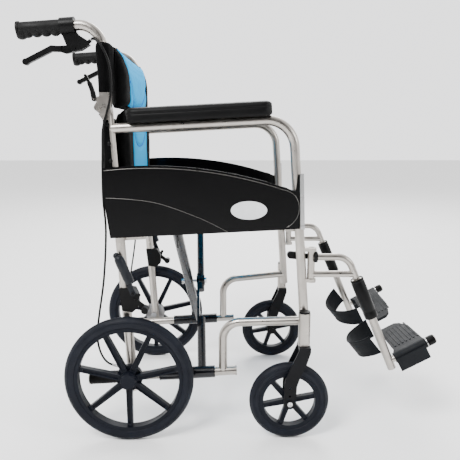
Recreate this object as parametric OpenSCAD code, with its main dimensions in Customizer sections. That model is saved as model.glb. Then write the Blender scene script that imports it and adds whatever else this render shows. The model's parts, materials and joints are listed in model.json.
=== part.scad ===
// Folding transport wheelchair with a cross brace, drop-back push handles and swing-away footrests.
// +X is forward, +Y is the occupant's left, +Z is up. Side parts are drawn for the right side
// (negative Y), with the rear axle above x = 0, and the left side is their mirror image.

/* [Wheels] */
// Outside diameter of a rear wheel
rear_wheel_d = 305; // [300:1:308]
// Outside diameter of a caster
caster_d = 190; // [184:1:192]
// Width of both kinds of tyre
tyre_w = 26; // [22:1:26]
// Number of spokes in a rear wheel
rear_spokes = 7; // [5:1:9]
// Number of spokes in a caster
caster_spokes = 6; // [5:1:8]
// From the rear axle to the caster axle
wheelbase = 379; // [376:1:384]

/* [Frame] */
// From the middle of the chair to the side-frame tubes
frame_y = 224; // [220:1:230]
// From the middle of the chair to the lower tubes and the seat rails
lower_y = 200; // [196:1:202]
// Outside diameter of the frame tubes
tube_d = 22; // [20:0.5:22]
// Wall of the frame tubes
tube_wall = 1.8; // [1.2:0.1:2.5]
// Nose-up tilt of the lower tubes and the seat
frame_tilt = 3; // [2:0.5:3.5]
// Height of the armrest tube at the back
arm_h = 733; // [730:1:745]

/* [Seat and back] */
// Height of the seat rails above the lower tubes
rail_rise = 358; // [350:1:360]
// Thickness of the seat sling
seat_t = 10; // [6:1:12]
// Height of the hinge of the folding back
hinge_h = 779; // [775:1:785]
// Height of the top of the back cushion
back_top = 918; // [900:1:922]

/* [Footrests] */
// Angle of the footrest tube below level
hanger_angle = 67; // [65:0.5:68]
// Nose-up tilt of a footplate
plate_tilt = 28; // [26:1:30]
// Width of a footplate, from its pivot to its inner edge
plate_w = 188; // [170:1:190]

/* [Hidden] */
$fn = 64;

// where the middle of the whole length lies, seen from the rear axle
origin_x = 256.2;

tube_r = tube_d / 2;
bore_r = tube_r - tube_wall;
run_gap = 0.05; // radial clearance of a running fit
face_gap = 0.4; // between faces of two bodies that move past each other

wheel_r = rear_wheel_d / 2;
wheel_y = 254;
axle_r = 6;
rim_out = wheel_r - 25.5;
rim_in = wheel_r - 34;
drum_r = 31;

caster_r = caster_d / 2;
caster_y = frame_y + 24.5;
caster_pivot_x = 412;
housing_low = 233;
housing_high = 311;
housing_r = 14;
caster_axle_r = 4;

lower_h = 135.4; // height of the lower tube above the rear axle
lower_back = -100;
lower_front = 252;
hoop_x = 221.5;
hoop_h = 271.5;
hoop_bend = 45;
hoop_r = 10.4;

// rear upright: a straight line that leans back
upright_low = 112;
function upright_x(z) = 3.5 - (z - 152.5) * tan(3.3);

// armrest rail and front upright, one bent tube
arm_slope = 3.1;
arm_bend = 64;
front_low = 255;
function arm_z(x) = arm_h + (x + 31) * tan(arm_slope);
function front_x(z) = 398.8 - (z - 498.5) * tan(4.3);
front_corner_x = 380;

// push handle
cane_x = -38.5;
handle_z = 957;
handle_slope = 4;
handle_bend = 50;
handle_end = -218;
function handle_axis(x) = handle_z + (x - cane_x) * tan(handle_slope);
hinge_x = -55;
hinge_pin_r = 3;

// cross brace, in the tilted frame
brace_angle = atan(rail_rise / (2 * lower_y));
brace_len = rail_rise / sin(brace_angle);
brace_a_x = 170;
brace_b_low = 142;
brace_b_high = 132;
brace_a_r = 10.5;
brace_b_r = 12;
sleeve_r = 14.5;
rail_back = 34;
rail_front = 415;

// footrest
hanger_x = 428;
hanger_top = 439;
hanger_stub = 398;
hanger_corner = 513.5;
hanger_r = 8;
sleeve_from = 58; // black sleeve of the footrest tube, below the hanger's corner
sleeve_to = 158;
foot_h = 181.5; // where the plate pivot crosses the footrest tube
foot_x = hanger_corner + (hanger_top - foot_h) / tan(hanger_angle);
step_r = 10;
pivot_r = 8;
plate_back = 15;
plate_front = 98;

// ---- helpers ----

// puts a right-hand part in place, or its mirror image on the left
module right() translate([-origin_x, 0, 0]) children();
module left() translate([-origin_x, 0, 0]) mirror([0, 1, 0]) children();

function unit(v) = v / norm(v);

// a straight rod between two points
module rod(p, q, r) {
    v = q - p;
    translate(p)
        rotate([0, acos(v[2] / norm(v)), atan2(v[1], v[0])])
            cylinder(h = norm(v), r = r);
}

// how far a bend reaches along the legs beside corner i
function turn(pts, i) =
    acos(unit(pts[i] - pts[i - 1]) * unit(pts[i + 1] - pts[i]));
function setback(pts, i, bend) =
    i == 0 || i == len(pts) - 1 ? 0 : bend * tan(turn(pts, i) / 2);

// a rod bent to one radius along [x, z] points, in the plane y = 0; its straight stretches
// reach a seam's length into the bends, which are a hair fuller
seam = 0.6;
module bent_rod(pts, bend, r) rotate([90, 0, 0]) {
    for (i = [0:len(pts) - 2]) {
        u = unit(pts[i + 1] - pts[i]);
        s = pts[i] + u * (setback(pts, i, bend) - (i > 0 ? seam : 0));
        e = pts[i + 1] - u * (setback(pts, i + 1, bend) - (i < len(pts) - 2 ? seam : 0));
        rod([s[0], s[1], 0], [e[0], e[1], 0], r);
    }
    for (i = [1:1:len(pts) - 2]) {
        u = unit(pts[i] - pts[i - 1]);
        v = unit(pts[i + 1] - pts[i]);
        side = sign(u[0] * v[1] - u[1] * v[0]);
        s = pts[i] - u * setback(pts, i, bend);
        e = pts[i] + v * setback(pts, i, bend);
        c = s + side * bend * [-u[1], u[0]];
        from = side > 0 ? s - c : e - c;
        translate([c[0], c[1], 0])
            rotate([0, 0, atan2(from[1], from[0])])
                rotate_extrude(angle = turn(pts, i))
                    translate([bend, 0]) circle(r = r + seam / 4);
    }
}

// the same points with both ends drawn out, so that a bore opens through them
function drawn_out(pts) = [for (i = [0:len(pts) - 1])
    i == 0 ? pts[0] - unit(pts[1] - pts[0])
    : i == len(pts) - 1 ? pts[i] + unit(pts[i] - pts[i - 1]) : pts[i]];

module bent_tube(pts, bend, r, wall) difference() {
    bent_rod(pts, bend, r);
    bent_rod(drawn_out(pts), bend, r - wall);
}

// a plate with an [x, z] outline, from y = -y1 to y = -y0
module plate(y0, y1) translate([0, -y0, 0]) rotate([90, 0, 0]) linear_extrude(y1 - y0) children();

// a round bar along Y, from y = -y0 to y = -y1
module cross_bar(x, z, r, y0, y1)
    translate([x, -y0, z]) rotate([90, 0, 0]) cylinder(h = y1 - y0, r = r);

// a bar with round ends between two points of a plane
module link(p, q, w) {
    d = atan2(q[1] - p[1], q[0] - p[0]);
    polygon(concat(
        [for (a = [90:15:270]) p + w / 2 * [cos(a + d), sin(a + d)]],
        [for (a = [-90:15:90]) q + w / 2 * [cos(a + d), sin(a + d)]]));
}

// the frame's own axes: x along the lower tubes, z square to them
module tilted() translate([0, 0, lower_h]) rotate([0, -frame_tilt, 0]) children();

// a smooth line through hand-chosen points
function knot(p, i) = p[max(0, min(len(p) - 1, i))];
function through(p, i, t) = 0.5 * (
    2 * knot(p, i) + (knot(p, i + 1) - knot(p, i - 1)) * t
    + (2 * knot(p, i - 1) - 5 * knot(p, i) + 4 * knot(p, i + 1) - knot(p, i + 2)) * t * t
    + (3 * knot(p, i) - knot(p, i - 1) - 3 * knot(p, i + 1) + knot(p, i + 2)) * t * t * t);
function smooth(p, steps) = concat(
    [for (i = [0:len(p) - 2], k = [0:steps - 1]) through(p, i, k / steps)], [p[len(p) - 1]]);

// sweeps a flat outline along a line: across lies square to the line, up follows the hint
module sweep(path, outline, hint) {
    n = len(path);
    m = len(outline);
    rings = [for (i = [0:n - 1])
        let (d = unit(path[min(n - 1, i + 1)] - path[max(0, i - 1)]),
             across = unit(cross(hint, d)), up = cross(d, across))
        for (o = outline) path[i] + o[0] * across + o[1] * up];
    sides = [for (i = [0:n - 2], j = [0:m - 1])
        let (k = (j + 1) % m, a = i * m, b = a + m)
        each [[a + j, a + k, b + k], [a + j, b + k, b + j]]];
    polyhedron(rings, concat(sides,
        [[for (j = [m - 1:-1:0]) j]], [[for (j = [0:m - 1]) (n - 1) * m + j]]), convexity = 6);
}

// ---- side frame ----

module upright_solid(r) rod([upright_x(upright_low - 5), -frame_y, upright_low - 5],
                            [upright_x(hinge_h), -frame_y, hinge_h], r);

// flat arm that holds a saddle to its upright, from x0 to x1 along the tilted frame
module saddle_arm(x0, x1) tilted() translate([x0, -214.8, rail_rise - 16]) cube([x1 - x0, 3.2, 20]);

// open-topped rest for a seat rail
module saddle(x0, x1) tilted() translate([x0, -lower_y, rail_rise])
    rotate([90, 0, 90]) linear_extrude(x1 - x0) difference() {
        translate([-15, -16]) square([28.5, 22]);
        circle(r = tube_r + 0.3);
        translate([-tube_r - 0.3, 0]) square([2 * tube_r + 0.6, 20]);
    }

module rear_upright() color("silver") {
    difference() {
        union() {
            rod([upright_x(upright_low), -frame_y, upright_low],
                [upright_x(hinge_h - 4), -frame_y, hinge_h - 4], tube_r);
            // lower half of the back hinge
            plate(frame_y - 13, frame_y + 13)
                polygon([[-51, hinge_h - 0.5], [-24, hinge_h - 0.5], [-23, 768], [-29, 752],
                         [-42, 752], [-51, 764]]);
        }
        // clear of the cheeks of the upper half
        for (s = [0, 1]) plate(frame_y - 14 + s * 18, frame_y - 4 + s * 18)
            translate([hinge_x, hinge_h]) circle(r = 15);
        rod([upright_x(upright_low - 2), -frame_y, upright_low - 2],
            [upright_x(745), -frame_y, 745], bore_r);
        cross_bar(0, wheel_r, axle_r, frame_y - 20, frame_y + 20);
    }
    // lug and pin of the back hinge
    plate(frame_y - 3.6, frame_y + 3.6) difference() {
        link([hinge_x, hinge_h], [-44, hinge_h - 10], 14);
        translate([-48.5, hinge_h - 0.5]) square([20, 20]);
    }
    cross_bar(hinge_x, hinge_h, hinge_pin_r, frame_y - 10, frame_y + 10);
    for (s = [-1, 1]) cross_bar(hinge_x, hinge_h, 5.2, frame_y + s * 11 - 1, frame_y + s * 11 + 1);
    // rear rest of the seat rail on its arm
    saddle(rail_back + 4, rail_back + 26);
    difference() {
        saddle_arm(-2, rail_back + 10);
        upright_solid(tube_r - 0.5);
    }
}

module front_frame() color("silver") {
    arm = [[upright_x(arm_h), arm_z(upright_x(arm_h))], [front_corner_x, arm_z(front_corner_x)],
           [front_x(front_low), front_low]];
    difference() {
        translate([0, -frame_y, 0]) bent_rod(arm, arm_bend, tube_r);
        upright_solid(tube_r + 0.03);
        // hollow where it is straight
        rod([upright_x(arm_h), -frame_y, arm_z(upright_x(arm_h))], [290, -frame_y, arm_z(290)], bore_r);
        rod([front_x(front_low - 2), -frame_y, front_low - 2], [front_x(650), -frame_y, 650], bore_r);
    }
    // caster housing, welded to the outside of the front upright
    difference() {
        union() {
            translate([caster_pivot_x, -caster_y, housing_low])
                cylinder(h = housing_high - housing_low, r = housing_r);
            translate([caster_pivot_x - 5, -caster_y + 10, 296]) cube([10, 8, 12]);
        }
        translate([caster_pivot_x, -caster_y, housing_low - 1])
            cylinder(h = housing_high - housing_low + 2, r = 11.5);
        rod([front_x(front_low), -frame_y, front_low], [front_x(400), -frame_y, 400], tube_r - 1);
    }
    // eyes that carry the footrest hanger
    for (z = [379.6, 453.4]) difference() {
        translate([0, 0, z]) linear_extrude(8.2) difference() {
            union() {
                translate([hanger_x, -frame_y]) circle(r = 12);
                translate([front_x(z) + 5, -frame_y - 9]) square([hanger_x - front_x(z) - 5, 18]);
            }
            translate([hanger_x, -frame_y]) circle(r = axle_r + run_gap);
        }
        rod([front_x(370), -frame_y, 370], [front_x(480), -frame_y, 480], tube_r - 0.6);
    }
    saddle(rail_front - 28, rail_front - 6);
    difference() {
        saddle_arm(rail_front - 12, rail_front + 4);
        rod([front_x(460), -frame_y, 460], [front_x(560), -frame_y, 560], tube_r - 0.5);
    }
}

module lower_solid(x0, x1, r) tilted() translate([x0, -lower_y, 0])
    rotate([0, 90, 0]) cylinder(h = x1 - x0, r = r);

// lower tube, with the rubber sleeve of the tipping lever at its back end
module lower_tube() color("silver") {
    difference() {
        union() {
            lower_solid(lower_back, lower_front, tube_r);
            lower_solid(lower_back - 6, -32, sleeve_r);
            // weld block that joins it to the rear upright
            translate([-12, -lower_y - 14, lower_h - 8]) cube([34, 8, 16]);
            // end plug
            lower_solid(lower_front, lower_front + 4, tube_r + 1);
        }
        lower_solid(lower_back, lower_front, bore_r);
        upright_solid(tube_r);
    }
}

hoop_turn = atan2(frame_y - lower_y, caster_pivot_x - hoop_x);
module hoop_tube() color("silver") {
    reach = norm([frame_y - lower_y, front_x(283) - hoop_x]);
    difference() {
        translate([hoop_x, -lower_y, 0]) rotate([0, 0, -hoop_turn])
            bent_rod([[0, 147], [0, hoop_h], [reach, hoop_h + reach * tan(3.9)]],
                     hoop_bend, hoop_r);
        lower_solid(lower_front - 80, lower_front, tube_r);
        rod([front_x(230), -frame_y, 230], [front_x(330), -frame_y, 330], tube_r);
    }
}

// ---- guard, arm pad ----

function guard_low(x) = 487.6 + (x + 33.6) * tan(2.7);
// everything under the long arc of the guard's top edge
module guard_arc(grow) translate([60, 652 - 950]) circle(r = 950 + grow, $fn = 360);

module side_guard() color([0.06, 0.06, 0.07]) {
    front = 398;
    plate(frame_y + 13, frame_y + 16) {
        intersection() {
            guard_arc(0);
            polygon([[-35, guard_low(-35)], [front, guard_low(front)], [front, 700],
                     [-49, 700], [-47, 580]]);
        }
        polygon([[front - 12, 590], [front, 590], [front - 3, 632], [front - 6, 632]]);
    }
    // raised outer panel, in two steps
    for (k = [0, 1]) plate(frame_y + 16 + 3 * k, frame_y + 19 + 3 * k) {
        intersection() {
            guard_arc(-2 - 2 * k);
            polygon([[-33 + 3 * k, guard_low(-33) + 2 * k], [347, guard_low(347) + 2 * k],
                     [347, 700], [-47 + 3 * k, 700], [-45 + 3 * k, 580]]);
        }
        translate([347, 556]) circle(r = 50 - 2 * k);
    }
    // blank oval badge
    translate([281, -frame_y - 22, 552]) rotate([90, 0, 0]) scale([41 / 21, 1, 1])
        linear_extrude(2) circle(r = 21);
}

module guard_strip() color("silver") {
    plate(frame_y + 16.2, frame_y + 19) polygon([[395, 634], [404, 634], [409, 507], [399.5, 507]]);
    for (p = [[399.5, 629], [404.5, 512]])
        cross_bar(p[0], p[1], 4.2, frame_y + 19, frame_y + 22.5);
}

module arm_pad() color([0.08, 0.08, 0.09]) {
    back = 9;
    length = 324;
    end_r = 17;
    difference() {
        translate([back, -frame_y, arm_z(back) + 8]) rotate([0, -arm_slope, 0]) intersection() {
            linear_extrude(34) {
                translate([end_r, -24]) square([length - 2 * end_r, 48]);
                translate([0, -24 + end_r]) square([length, 48 - 2 * end_r]);
                for (x = [end_r, length - end_r], y = [-24 + end_r, 24 - end_r])
                    translate([x, y]) circle(r = end_r);
            }
            rotate([90, 0, 90]) linear_extrude(length) {
                translate([-24, 0]) square([48, 24]);
                translate([-14, 0]) square([28, 33]);
                for (y = [-14, 14]) translate([y, 23]) circle(r = 10);
            }
        }
        translate([0, -frame_y, 0])
            rod([-31, 0, arm_z(-31)], [front_corner_x, 0, arm_z(front_corner_x)], tube_r + 0.2);
    }
}

// ---- folding back ----

module back_cane() color("silver") {
    cane = [[cane_x, hinge_h + 0.5], [cane_x, handle_axis(cane_x)],
            [handle_end, handle_axis(handle_end)]];
    difference() {
        translate([0, -frame_y, 0]) bent_tube(cane, handle_bend, tube_r, tube_wall);
        cross_bar(hinge_x, hinge_h, 8, frame_y - 4.2, frame_y + 4.2);
    }
    // upper half of the hinge: a socket and two cheeks
    difference() {
        union() {
            translate([cane_x - 10, -frame_y - 13, hinge_h + 0.5]) cube([23.5, 26, 32]);
            for (s = [0, 1]) plate(frame_y - 8.5 + s * 12.7, frame_y - 4.2 + s * 12.7)
                link([hinge_x, hinge_h], [-46, hinge_h + 16], 14);
        }
        translate([cane_x, -frame_y, hinge_h - 5]) cylinder(h = 60, r = tube_r);
        cross_bar(hinge_x, hinge_h, 8, frame_y - 4.2, frame_y + 4.2);
        cross_bar(hinge_x, hinge_h, hinge_pin_r + run_gap, frame_y - 15, frame_y + 15);
    }
    // lug and pin of the latch lever
    plate(frame_y - 2, frame_y + 2) link([-62, 797], [-50, 800], 8);
    cross_bar(-62, 797, 2, frame_y - 7.5, frame_y + 7.5);
}

module back_latch() color([0.07, 0.07, 0.08]) {
    difference() {
        union() {
            for (s = [0, 1]) plate(frame_y - 6.5 + s * 9, frame_y - 2.5 + s * 9)
                link([-62, 797], [-64.5, 812], 9);
            plate(frame_y - 6.5, frame_y + 6.5) link([-64.5, 813], [-71, 832], 8);
            plate(frame_y - 4, frame_y + 4) link([-71, 832], [-79, 848], 6);
        }
        cross_bar(-62, 797, 2 + run_gap, frame_y - 12, frame_y + 12);
    }
}

module along_handle(x) translate([x, -frame_y, handle_axis(x)]) rotate([0, -90 - handle_slope, 0])
    children();

module hand_grip() color([0.08, 0.08, 0.09]) {
    grip_len = 93;
    difference() {
        along_handle(-128.5) {
            cylinder(h = grip_len, r = 15);
            translate([0, 0, grip_len - 5]) cylinder(h = 5, r = 17);
            // ridges between the fingers, on the underside
            for (k = [0:3]) translate([-6, 0, 12 + 20 * k]) sphere(r = 13.5);
            translate([-7, 0, grip_len - 8]) sphere(r = 15);
        }
        along_handle(-100) cylinder(h = grip_len + 26, r = tube_r);
        along_handle(-128.5 - grip_len) translate([0, 0, 0.3]) cylinder(h = 30, r = 40);
        along_handle(-128.5) translate([0, 0, -30]) cylinder(h = 30, r = 40);
    }
}

lever_x = -98;
lever_z = 906;
module brake_clamp() color([0.07, 0.07, 0.08]) {
    difference() {
        union() {
            along_handle(-97) cylinder(h = 31, r = 18);
            plate(frame_y - 8, frame_y + 8)
                polygon([[-126, 938], [-114, 906], [-104, 897], [-84, 901], [-66, 912],
                         [-70, 921], [-88, 932], [-96, 944]]);
        }
        along_handle(-90) translate([0, 0, -3]) cylinder(h = 60, r = tube_r);
        // slot for the lever
        plate(frame_y - 4.3, frame_y + 4.3) {
            translate([lever_x, lever_z]) circle(r = 16);
            polygon([[-140, 925], [-140, 880], [-84, 880], [-84, 925]]);
        }
    }
    cross_bar(lever_x, lever_z, 2.5, frame_y - 9.5, frame_y + 9.5);
    // cable adjuster
    rod([-76, -frame_y, 914], [-64, -frame_y, 922], 4);
}

module brake_lever() color([0.07, 0.07, 0.08]) difference() {
    union() {
        plate(frame_y - 4, frame_y + 4) {
            translate([lever_x, lever_z]) circle(r = 8);
            polygon([[-98, 914], [-118, 911], [-136, 910], [-136, 899], [-118, 893.5], [-100, 898]]);
        }
        // handle: a bar with a kink and a knob at its end
        plate(frame_y - 5.5, frame_y + 5.5) {
            polygon([[-128, 909.5], [-150, 911], [-208, 882.5], [-204, 871.5], [-149, 898], [-128, 897.5]]);
            translate([-207, 876.5]) circle(r = 7);
        }
    }
    cross_bar(lever_x, lever_z, 2.5 + run_gap, frame_y - 20, frame_y + 20);
}

// route of the right-hand brake cable, from the adjuster to the arm on the drum
cable_r = 2.5;
function cable_route(bow) = [[-61.2, -224.6, 923.9], [-57.5, -232.5, 924.6], [-47.5, -240, 919],
    [-36 + bow / 2, -243, 905], [-25 + bow, -243, 878], [-20 + bow, -243, 846], [-21 + bow, -243, 812],
    [-26 + bow / 2, -243, 786], [-34, -243, 760], [-42, -242, 730], [-46, -234, 690], [-49, -229, 640],
    [-50, -228, 574], [-47, -227, 500], [-56, -227, 388], [-72, -228, 290], [-76, -230, 242],
    [-68, -232, 206], [-52, -234, 184], [-28, -235, 176]];
// the left-hand cable stands out further in front of its cane
module brake_cable(bow = 0) color([0.1, 0.1, 0.1])
    sweep(smooth(cable_route(bow), 4), [for (a = [0:45:315]) cable_r * [cos(a), sin(a)]], [0, 1, 0.3]);

// ---- rear wheel, with its axle along the local Z, and outboard towards +Z ----

module at_axle() translate([0, -wheel_y, wheel_r]) rotate([90, 0, 0]) children();

module tyre_outline(r_out, r_in, crown) intersection() {
    translate([r_in, -tyre_w / 2]) square([r_out - r_in, tyre_w]);
    translate([r_out - crown, 0]) circle(r = crown);
}

module rear_tyre() color([0.1, 0.12, 0.18]) at_axle()
    rotate_extrude($fn = 120) tyre_outline(wheel_r, rim_out, 20);

// a tapered spoke that points along -Y, with a channel in each face
module spoke(r0, r1, w0, w1, t, channel) difference() {
    translate([0, 0, -t / 2]) linear_extrude(t)
        polygon([[-w0 / 2, -r0], [w0 / 2, -r0], [w1 / 2, -r1], [-w1 / 2, -r1]]);
    for (s = [-1, 1]) translate([0, 0, s * t / 2 - channel]) linear_extrude(2 * channel)
        polygon([[-w0 / 2 + 3, -r0 - 8], [w0 / 2 - 3, -r0 - 8], [w1 / 2 - 3, -r1 + 12],
                 [-w1 / 2 + 3, -r1 + 12]]);
}

module rear_wheel() color([0.09, 0.1, 0.13]) at_axle() difference() {
    union() {
        rotate_extrude($fn = 120) translate([rim_in, -11]) square([rim_out - rim_in, 22]);
        for (k = [0:rear_spokes - 1]) rotate([0, 0, k * 360 / rear_spokes])
            spoke(16, rim_in + 4, 15, 12, 14, 3);
        translate([0, 0, -9]) cylinder(h = 22, r = 20);
        translate([0, 0, 13]) cylinder(h = 6, r1 = 19, r2 = 17);
        // brake drum
        translate([0, 0, -14]) difference() {
            cylinder(h = 11, r = drum_r);
            translate([0, 0, -1]) cylinder(h = 9, r = drum_r - 3);
        }
    }
    translate([0, 0, -20]) cylinder(h = 26, r = axle_r + run_gap);
    translate([0, 0, 5]) cylinder(h = 9, r = 11);
}

// backing plate, shoes, cam arm and the fixed axle
module drum_brake() color([0.3, 0.3, 0.32]) at_axle() {
    translate([0, 0, -17.5]) difference() {
        cylinder(h = 3, r = drum_r);
        cylinder(h = 20, r = axle_r, center = true);
    }
    for (s = [0, 180]) rotate([0, 0, s]) translate([0, 0, -14.5])
        rotate_extrude(angle = 150) translate([drum_r - 8, 0]) square([4.5, 7]);
    translate([0, 0, -46]) cylinder(h = 54.5, r = axle_r);
    translate([0, 0, -47]) cylinder(h = 6, r = 9.5, $fn = 6);
    translate([0, 0, -19]) cylinder(h = 1.6, r = 9);
    translate([0, 0, 5.6]) cylinder(h = 5, r = 9, $fn = 6);
    // cam and brake arm
    translate([-19, -8, -22]) cylinder(h = 5, r = 4);
    translate([0, 0, -22]) linear_extrude(3) link([-19, -8], [-22, 22], 8);
}

// ---- parking brake ----

module parking_clamp() color([0.07, 0.07, 0.08]) difference() {
    union() {
        plate(frame_y - 14, frame_y + 14)
            polygon([[-20, 368], [4, 368], [16, 366], [24, 350], [24, 322], [10, 310], [-14, 314]]);
        cross_bar(13, 357, 4, frame_y + 14, frame_y + 22.5);
        cross_bar(20, 340, 4, frame_y + 14, frame_y + 22.5);
    }
    upright_solid(tube_r);
}

module parking_lever() color([0.35, 0.36, 0.39]) difference() {
    union() {
        plate(frame_y + 14.6, frame_y + 18) link([13, 357], [1, 388], 13);
        rod([3, -frame_y - 19, 382], [-22, -frame_y - 19, 446], 6.5);
        translate([-22.5, -frame_y - 19, 447]) sphere(r = 7.2);
    }
    cross_bar(13, 357, 4 + run_gap, frame_y, frame_y + 40);
}

module parking_shoe() color([0.12, 0.12, 0.13]) difference() {
    union() {
        plate(frame_y + 18.4, frame_y + 21.4) {
            link([20, 340], [42, 322], 11);
            link([20, 340], [27, 354], 8);
        }
        cross_bar(42, 322, 8, frame_y + 18.4, frame_y + 40);
    }
    cross_bar(20, 340, 4 + run_gap, frame_y, frame_y + 40);
}

// ---- caster ----

module at_caster() translate([wheelbase, -caster_y, caster_r]) rotate([90, 0, 0]) children();

module caster_fork() color([0.07, 0.07, 0.08]) {
    top = housing_low - face_gap;
    // stem with its two bearing bands, and the cap on its nut
    translate([caster_pivot_x, -caster_y, top - 4]) cylinder(h = 86, r = 8);
    for (z = [top + 4, housing_high - 12]) translate([caster_pivot_x, -caster_y, z])
        cylinder(h = 8, r = 11.45);
    translate([caster_pivot_x, -caster_y, housing_high + face_gap]) cylinder(h = 4, r = 13);
    translate([400, -caster_y - 22, top - 11]) cube([26, 44, 11]);
    leg_w = 28;
    for (s = [0, 1]) plate(caster_y - 22 + 40 * s, caster_y - 18 + 40 * s) difference() {
        union() {
            polygon([[400, top], [426, top], [426, top - 11], [414, 183], [396, 152],
                     [wheelbase + leg_w / 2, caster_r], [wheelbase - leg_w / 2, caster_r],
                     [367, 152], [380, 185], [398, 224]]);
            translate([wheelbase, caster_r]) circle(r = leg_w / 2);
        }
        // spare axle holes
        for (z = [18, 38]) translate([wheelbase, caster_r + z]) circle(r = 3);
    }
    // axle bolt with its heads
    cross_bar(wheelbase, caster_r, caster_axle_r, caster_y - 20, caster_y + 20);
    for (s = [-1, 1]) cross_bar(wheelbase, caster_r, 7, caster_y + s * 24 - 2, caster_y + s * 24 + 2);
}

module caster_tyre() color([0.1, 0.12, 0.18]) at_caster()
    rotate_extrude($fn = 96) tyre_outline(caster_r, caster_r - 23, 17);

module caster_wheel() color([0.09, 0.1, 0.13]) at_caster() difference() {
    union() {
        rotate_extrude($fn = 96) translate([caster_r - 33, -10]) square([10, 20]);
        for (k = [0:caster_spokes - 1]) rotate([0, 0, 101 + k * 360 / caster_spokes])
            spoke(9, caster_r - 32, 13, 11, 13, 2);
        translate([0, 0, -17]) cylinder(h = 34, r = 13);
    }
    translate([0, 0, -20]) cylinder(h = 40, r = caster_axle_r + run_gap);
}

// ---- footrest ----

hanger_dir = [cos(hanger_angle), -sin(hanger_angle)];
hanger_line = [[hanger_x + 4, hanger_top], [hanger_corner, hanger_top],
    [hanger_corner, hanger_top] + 110 * hanger_dir];

// a rod along the slanting stretch, between two distances from its corner
module slant_rod(from, to, r) rod(
    [hanger_corner + from * hanger_dir[0], -frame_y, hanger_top + from * hanger_dir[1]],
    [hanger_corner + to * hanger_dir[0], -frame_y, hanger_top + to * hanger_dir[1]], r);

module hanger_tube() color("silver") {
    bar_end = hanger_corner + (hanger_top - hanger_stub) / tan(hanger_angle);
    translate([0, -frame_y, 0]) bent_rod(hanger_line, 38, hanger_r);
    rod([hanger_x, -frame_y, hanger_stub], [bar_end, -frame_y, hanger_stub], hanger_r - 0.3);
    // post that turns in the eyes of the front frame
    translate([hanger_x, -frame_y, 388.2]) cylinder(h = 64.8, r = hanger_r + 0.8);
    translate([hanger_x, -frame_y, 380.5]) cylinder(h = 80, r = axle_r);
    // bracket and pin of the lock lever
    translate([hanger_x - 5, -frame_y + 3, 421]) cube([10, 21, 6]);
    translate([hanger_x + 2, -frame_y + 19, 422]) cylinder(h = 26, r = 3);
}

// the frame of one footplate: x along its pivot, z square to it
module at_foot() translate([foot_x, -frame_y, foot_h]) rotate([0, -plate_tilt, 0]) children();

module footrest_tube() color("silver") {
    pivot_at = norm([foot_x - hanger_corner, foot_h - hanger_top]);
    difference() {
        union() {
            slant_rod(sleeve_from, pivot_at + 20, step_r);
            // plastic sleeve with the height clamp
            slant_rod(sleeve_from + 0.5, sleeve_to, 14.5);
        }
        slant_rod(sleeve_from - 5, 112, hanger_r + run_gap);
    }
    at_foot() {
        rotate([0, 90, 0]) cylinder(h = plate_front + 3, r = pivot_r);
        translate([plate_front + 2, 0, 0]) rotate([0, 90, 0]) cylinder(h = 21, r = 10);
    }
}

module footplate() color([0.2, 0.21, 0.23]) at_foot() difference() {
    union() {
        // roll round the pivot, and the skirt outside it
        translate([plate_back, 0, 0]) rotate([0, 90, 0]) cylinder(h = plate_front - plate_back, r = 12.2);
        translate([plate_back + 1, -15, -32]) cube([plate_front - plate_back - 7, 5, 34]);
        translate([plate_back + 2, -15, -3]) cube([plate_front - plate_back - 9, 15, 4.5]);
        // plate, drooping a little towards its inner edge
        rotate([-6, 0, 0]) translate([0, 0, 4]) {
            linear_extrude(8.4) polygon([[plate_back + 2, 0], [plate_front - 1, 0],
                [plate_front - 1, plate_w - 60], [plate_front - 14, plate_w - 14],
                [plate_front - 26, plate_w], [plate_back + 12, plate_w], [plate_back + 10, 20]]);
            for (k = [0:6]) translate([plate_back + 16 + 10 * k, 30, 7.4]) cube([4, plate_w - 60, 2.4]);
        }
    }
    rotate([0, 90, 0]) cylinder(h = 240, r = pivot_r + run_gap, center = true);
}

// strap behind the heel, from the footrest tube to the inner back corner of the plate
loop_route = [[-12, 12, 50], [-32, 24, 46], [-54, 52, 40], [-60, 90, 34], [-48, 128, 30],
    [-20, 158, 24], [8, 172, 22]];
module heel_loop() color([0.08, 0.08, 0.09]) at_foot()
    sweep(smooth(loop_route, 4), [[-1.5, -20], [1.5, -20], [1.5, 20], [-1.5, 20]], [-0.2, 0, 1]);

module hanger_lock() color([0.07, 0.07, 0.08]) difference() {
    px = hanger_x + 2;
    py = -frame_y + 19;
    union() {
        translate([px, py, 429]) cylinder(h = 16, r = 7);
        translate([px - 34, py - 4, 431]) cube([34, 8, 12]);
        translate([0, py + 5, 0]) rotate([90, 0, 0]) linear_extrude(10)
            link([px - 30, 438], [px - 48, 440], 17);
    }
    translate([px, py, 400]) cylinder(h = 80, r = 3 + run_gap);
}

// ---- cross brace ----

// a point s of the way up a brace that starts at the side given, in the tilted frame
function brace_at(side, x0, x1, s) =
    [x0 + (x1 - x0) * s, side * lower_y * (2 * s - 1), rail_rise * s];

module brace_sleeve(side) difference() {
    translate([66, side * lower_y, 0]) rotate([0, 90, 0]) cylinder(h = 136, r = sleeve_r);
    translate([60, side * lower_y, 0]) rotate([0, 90, 0]) cylinder(h = 150, r = tube_r + run_gap);
}

module seat_rail(side) translate([rail_back, side * lower_y, rail_rise])
    rotate([0, 90, 0]) cylinder(h = rail_front - rail_back, r = tube_r);

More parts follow.
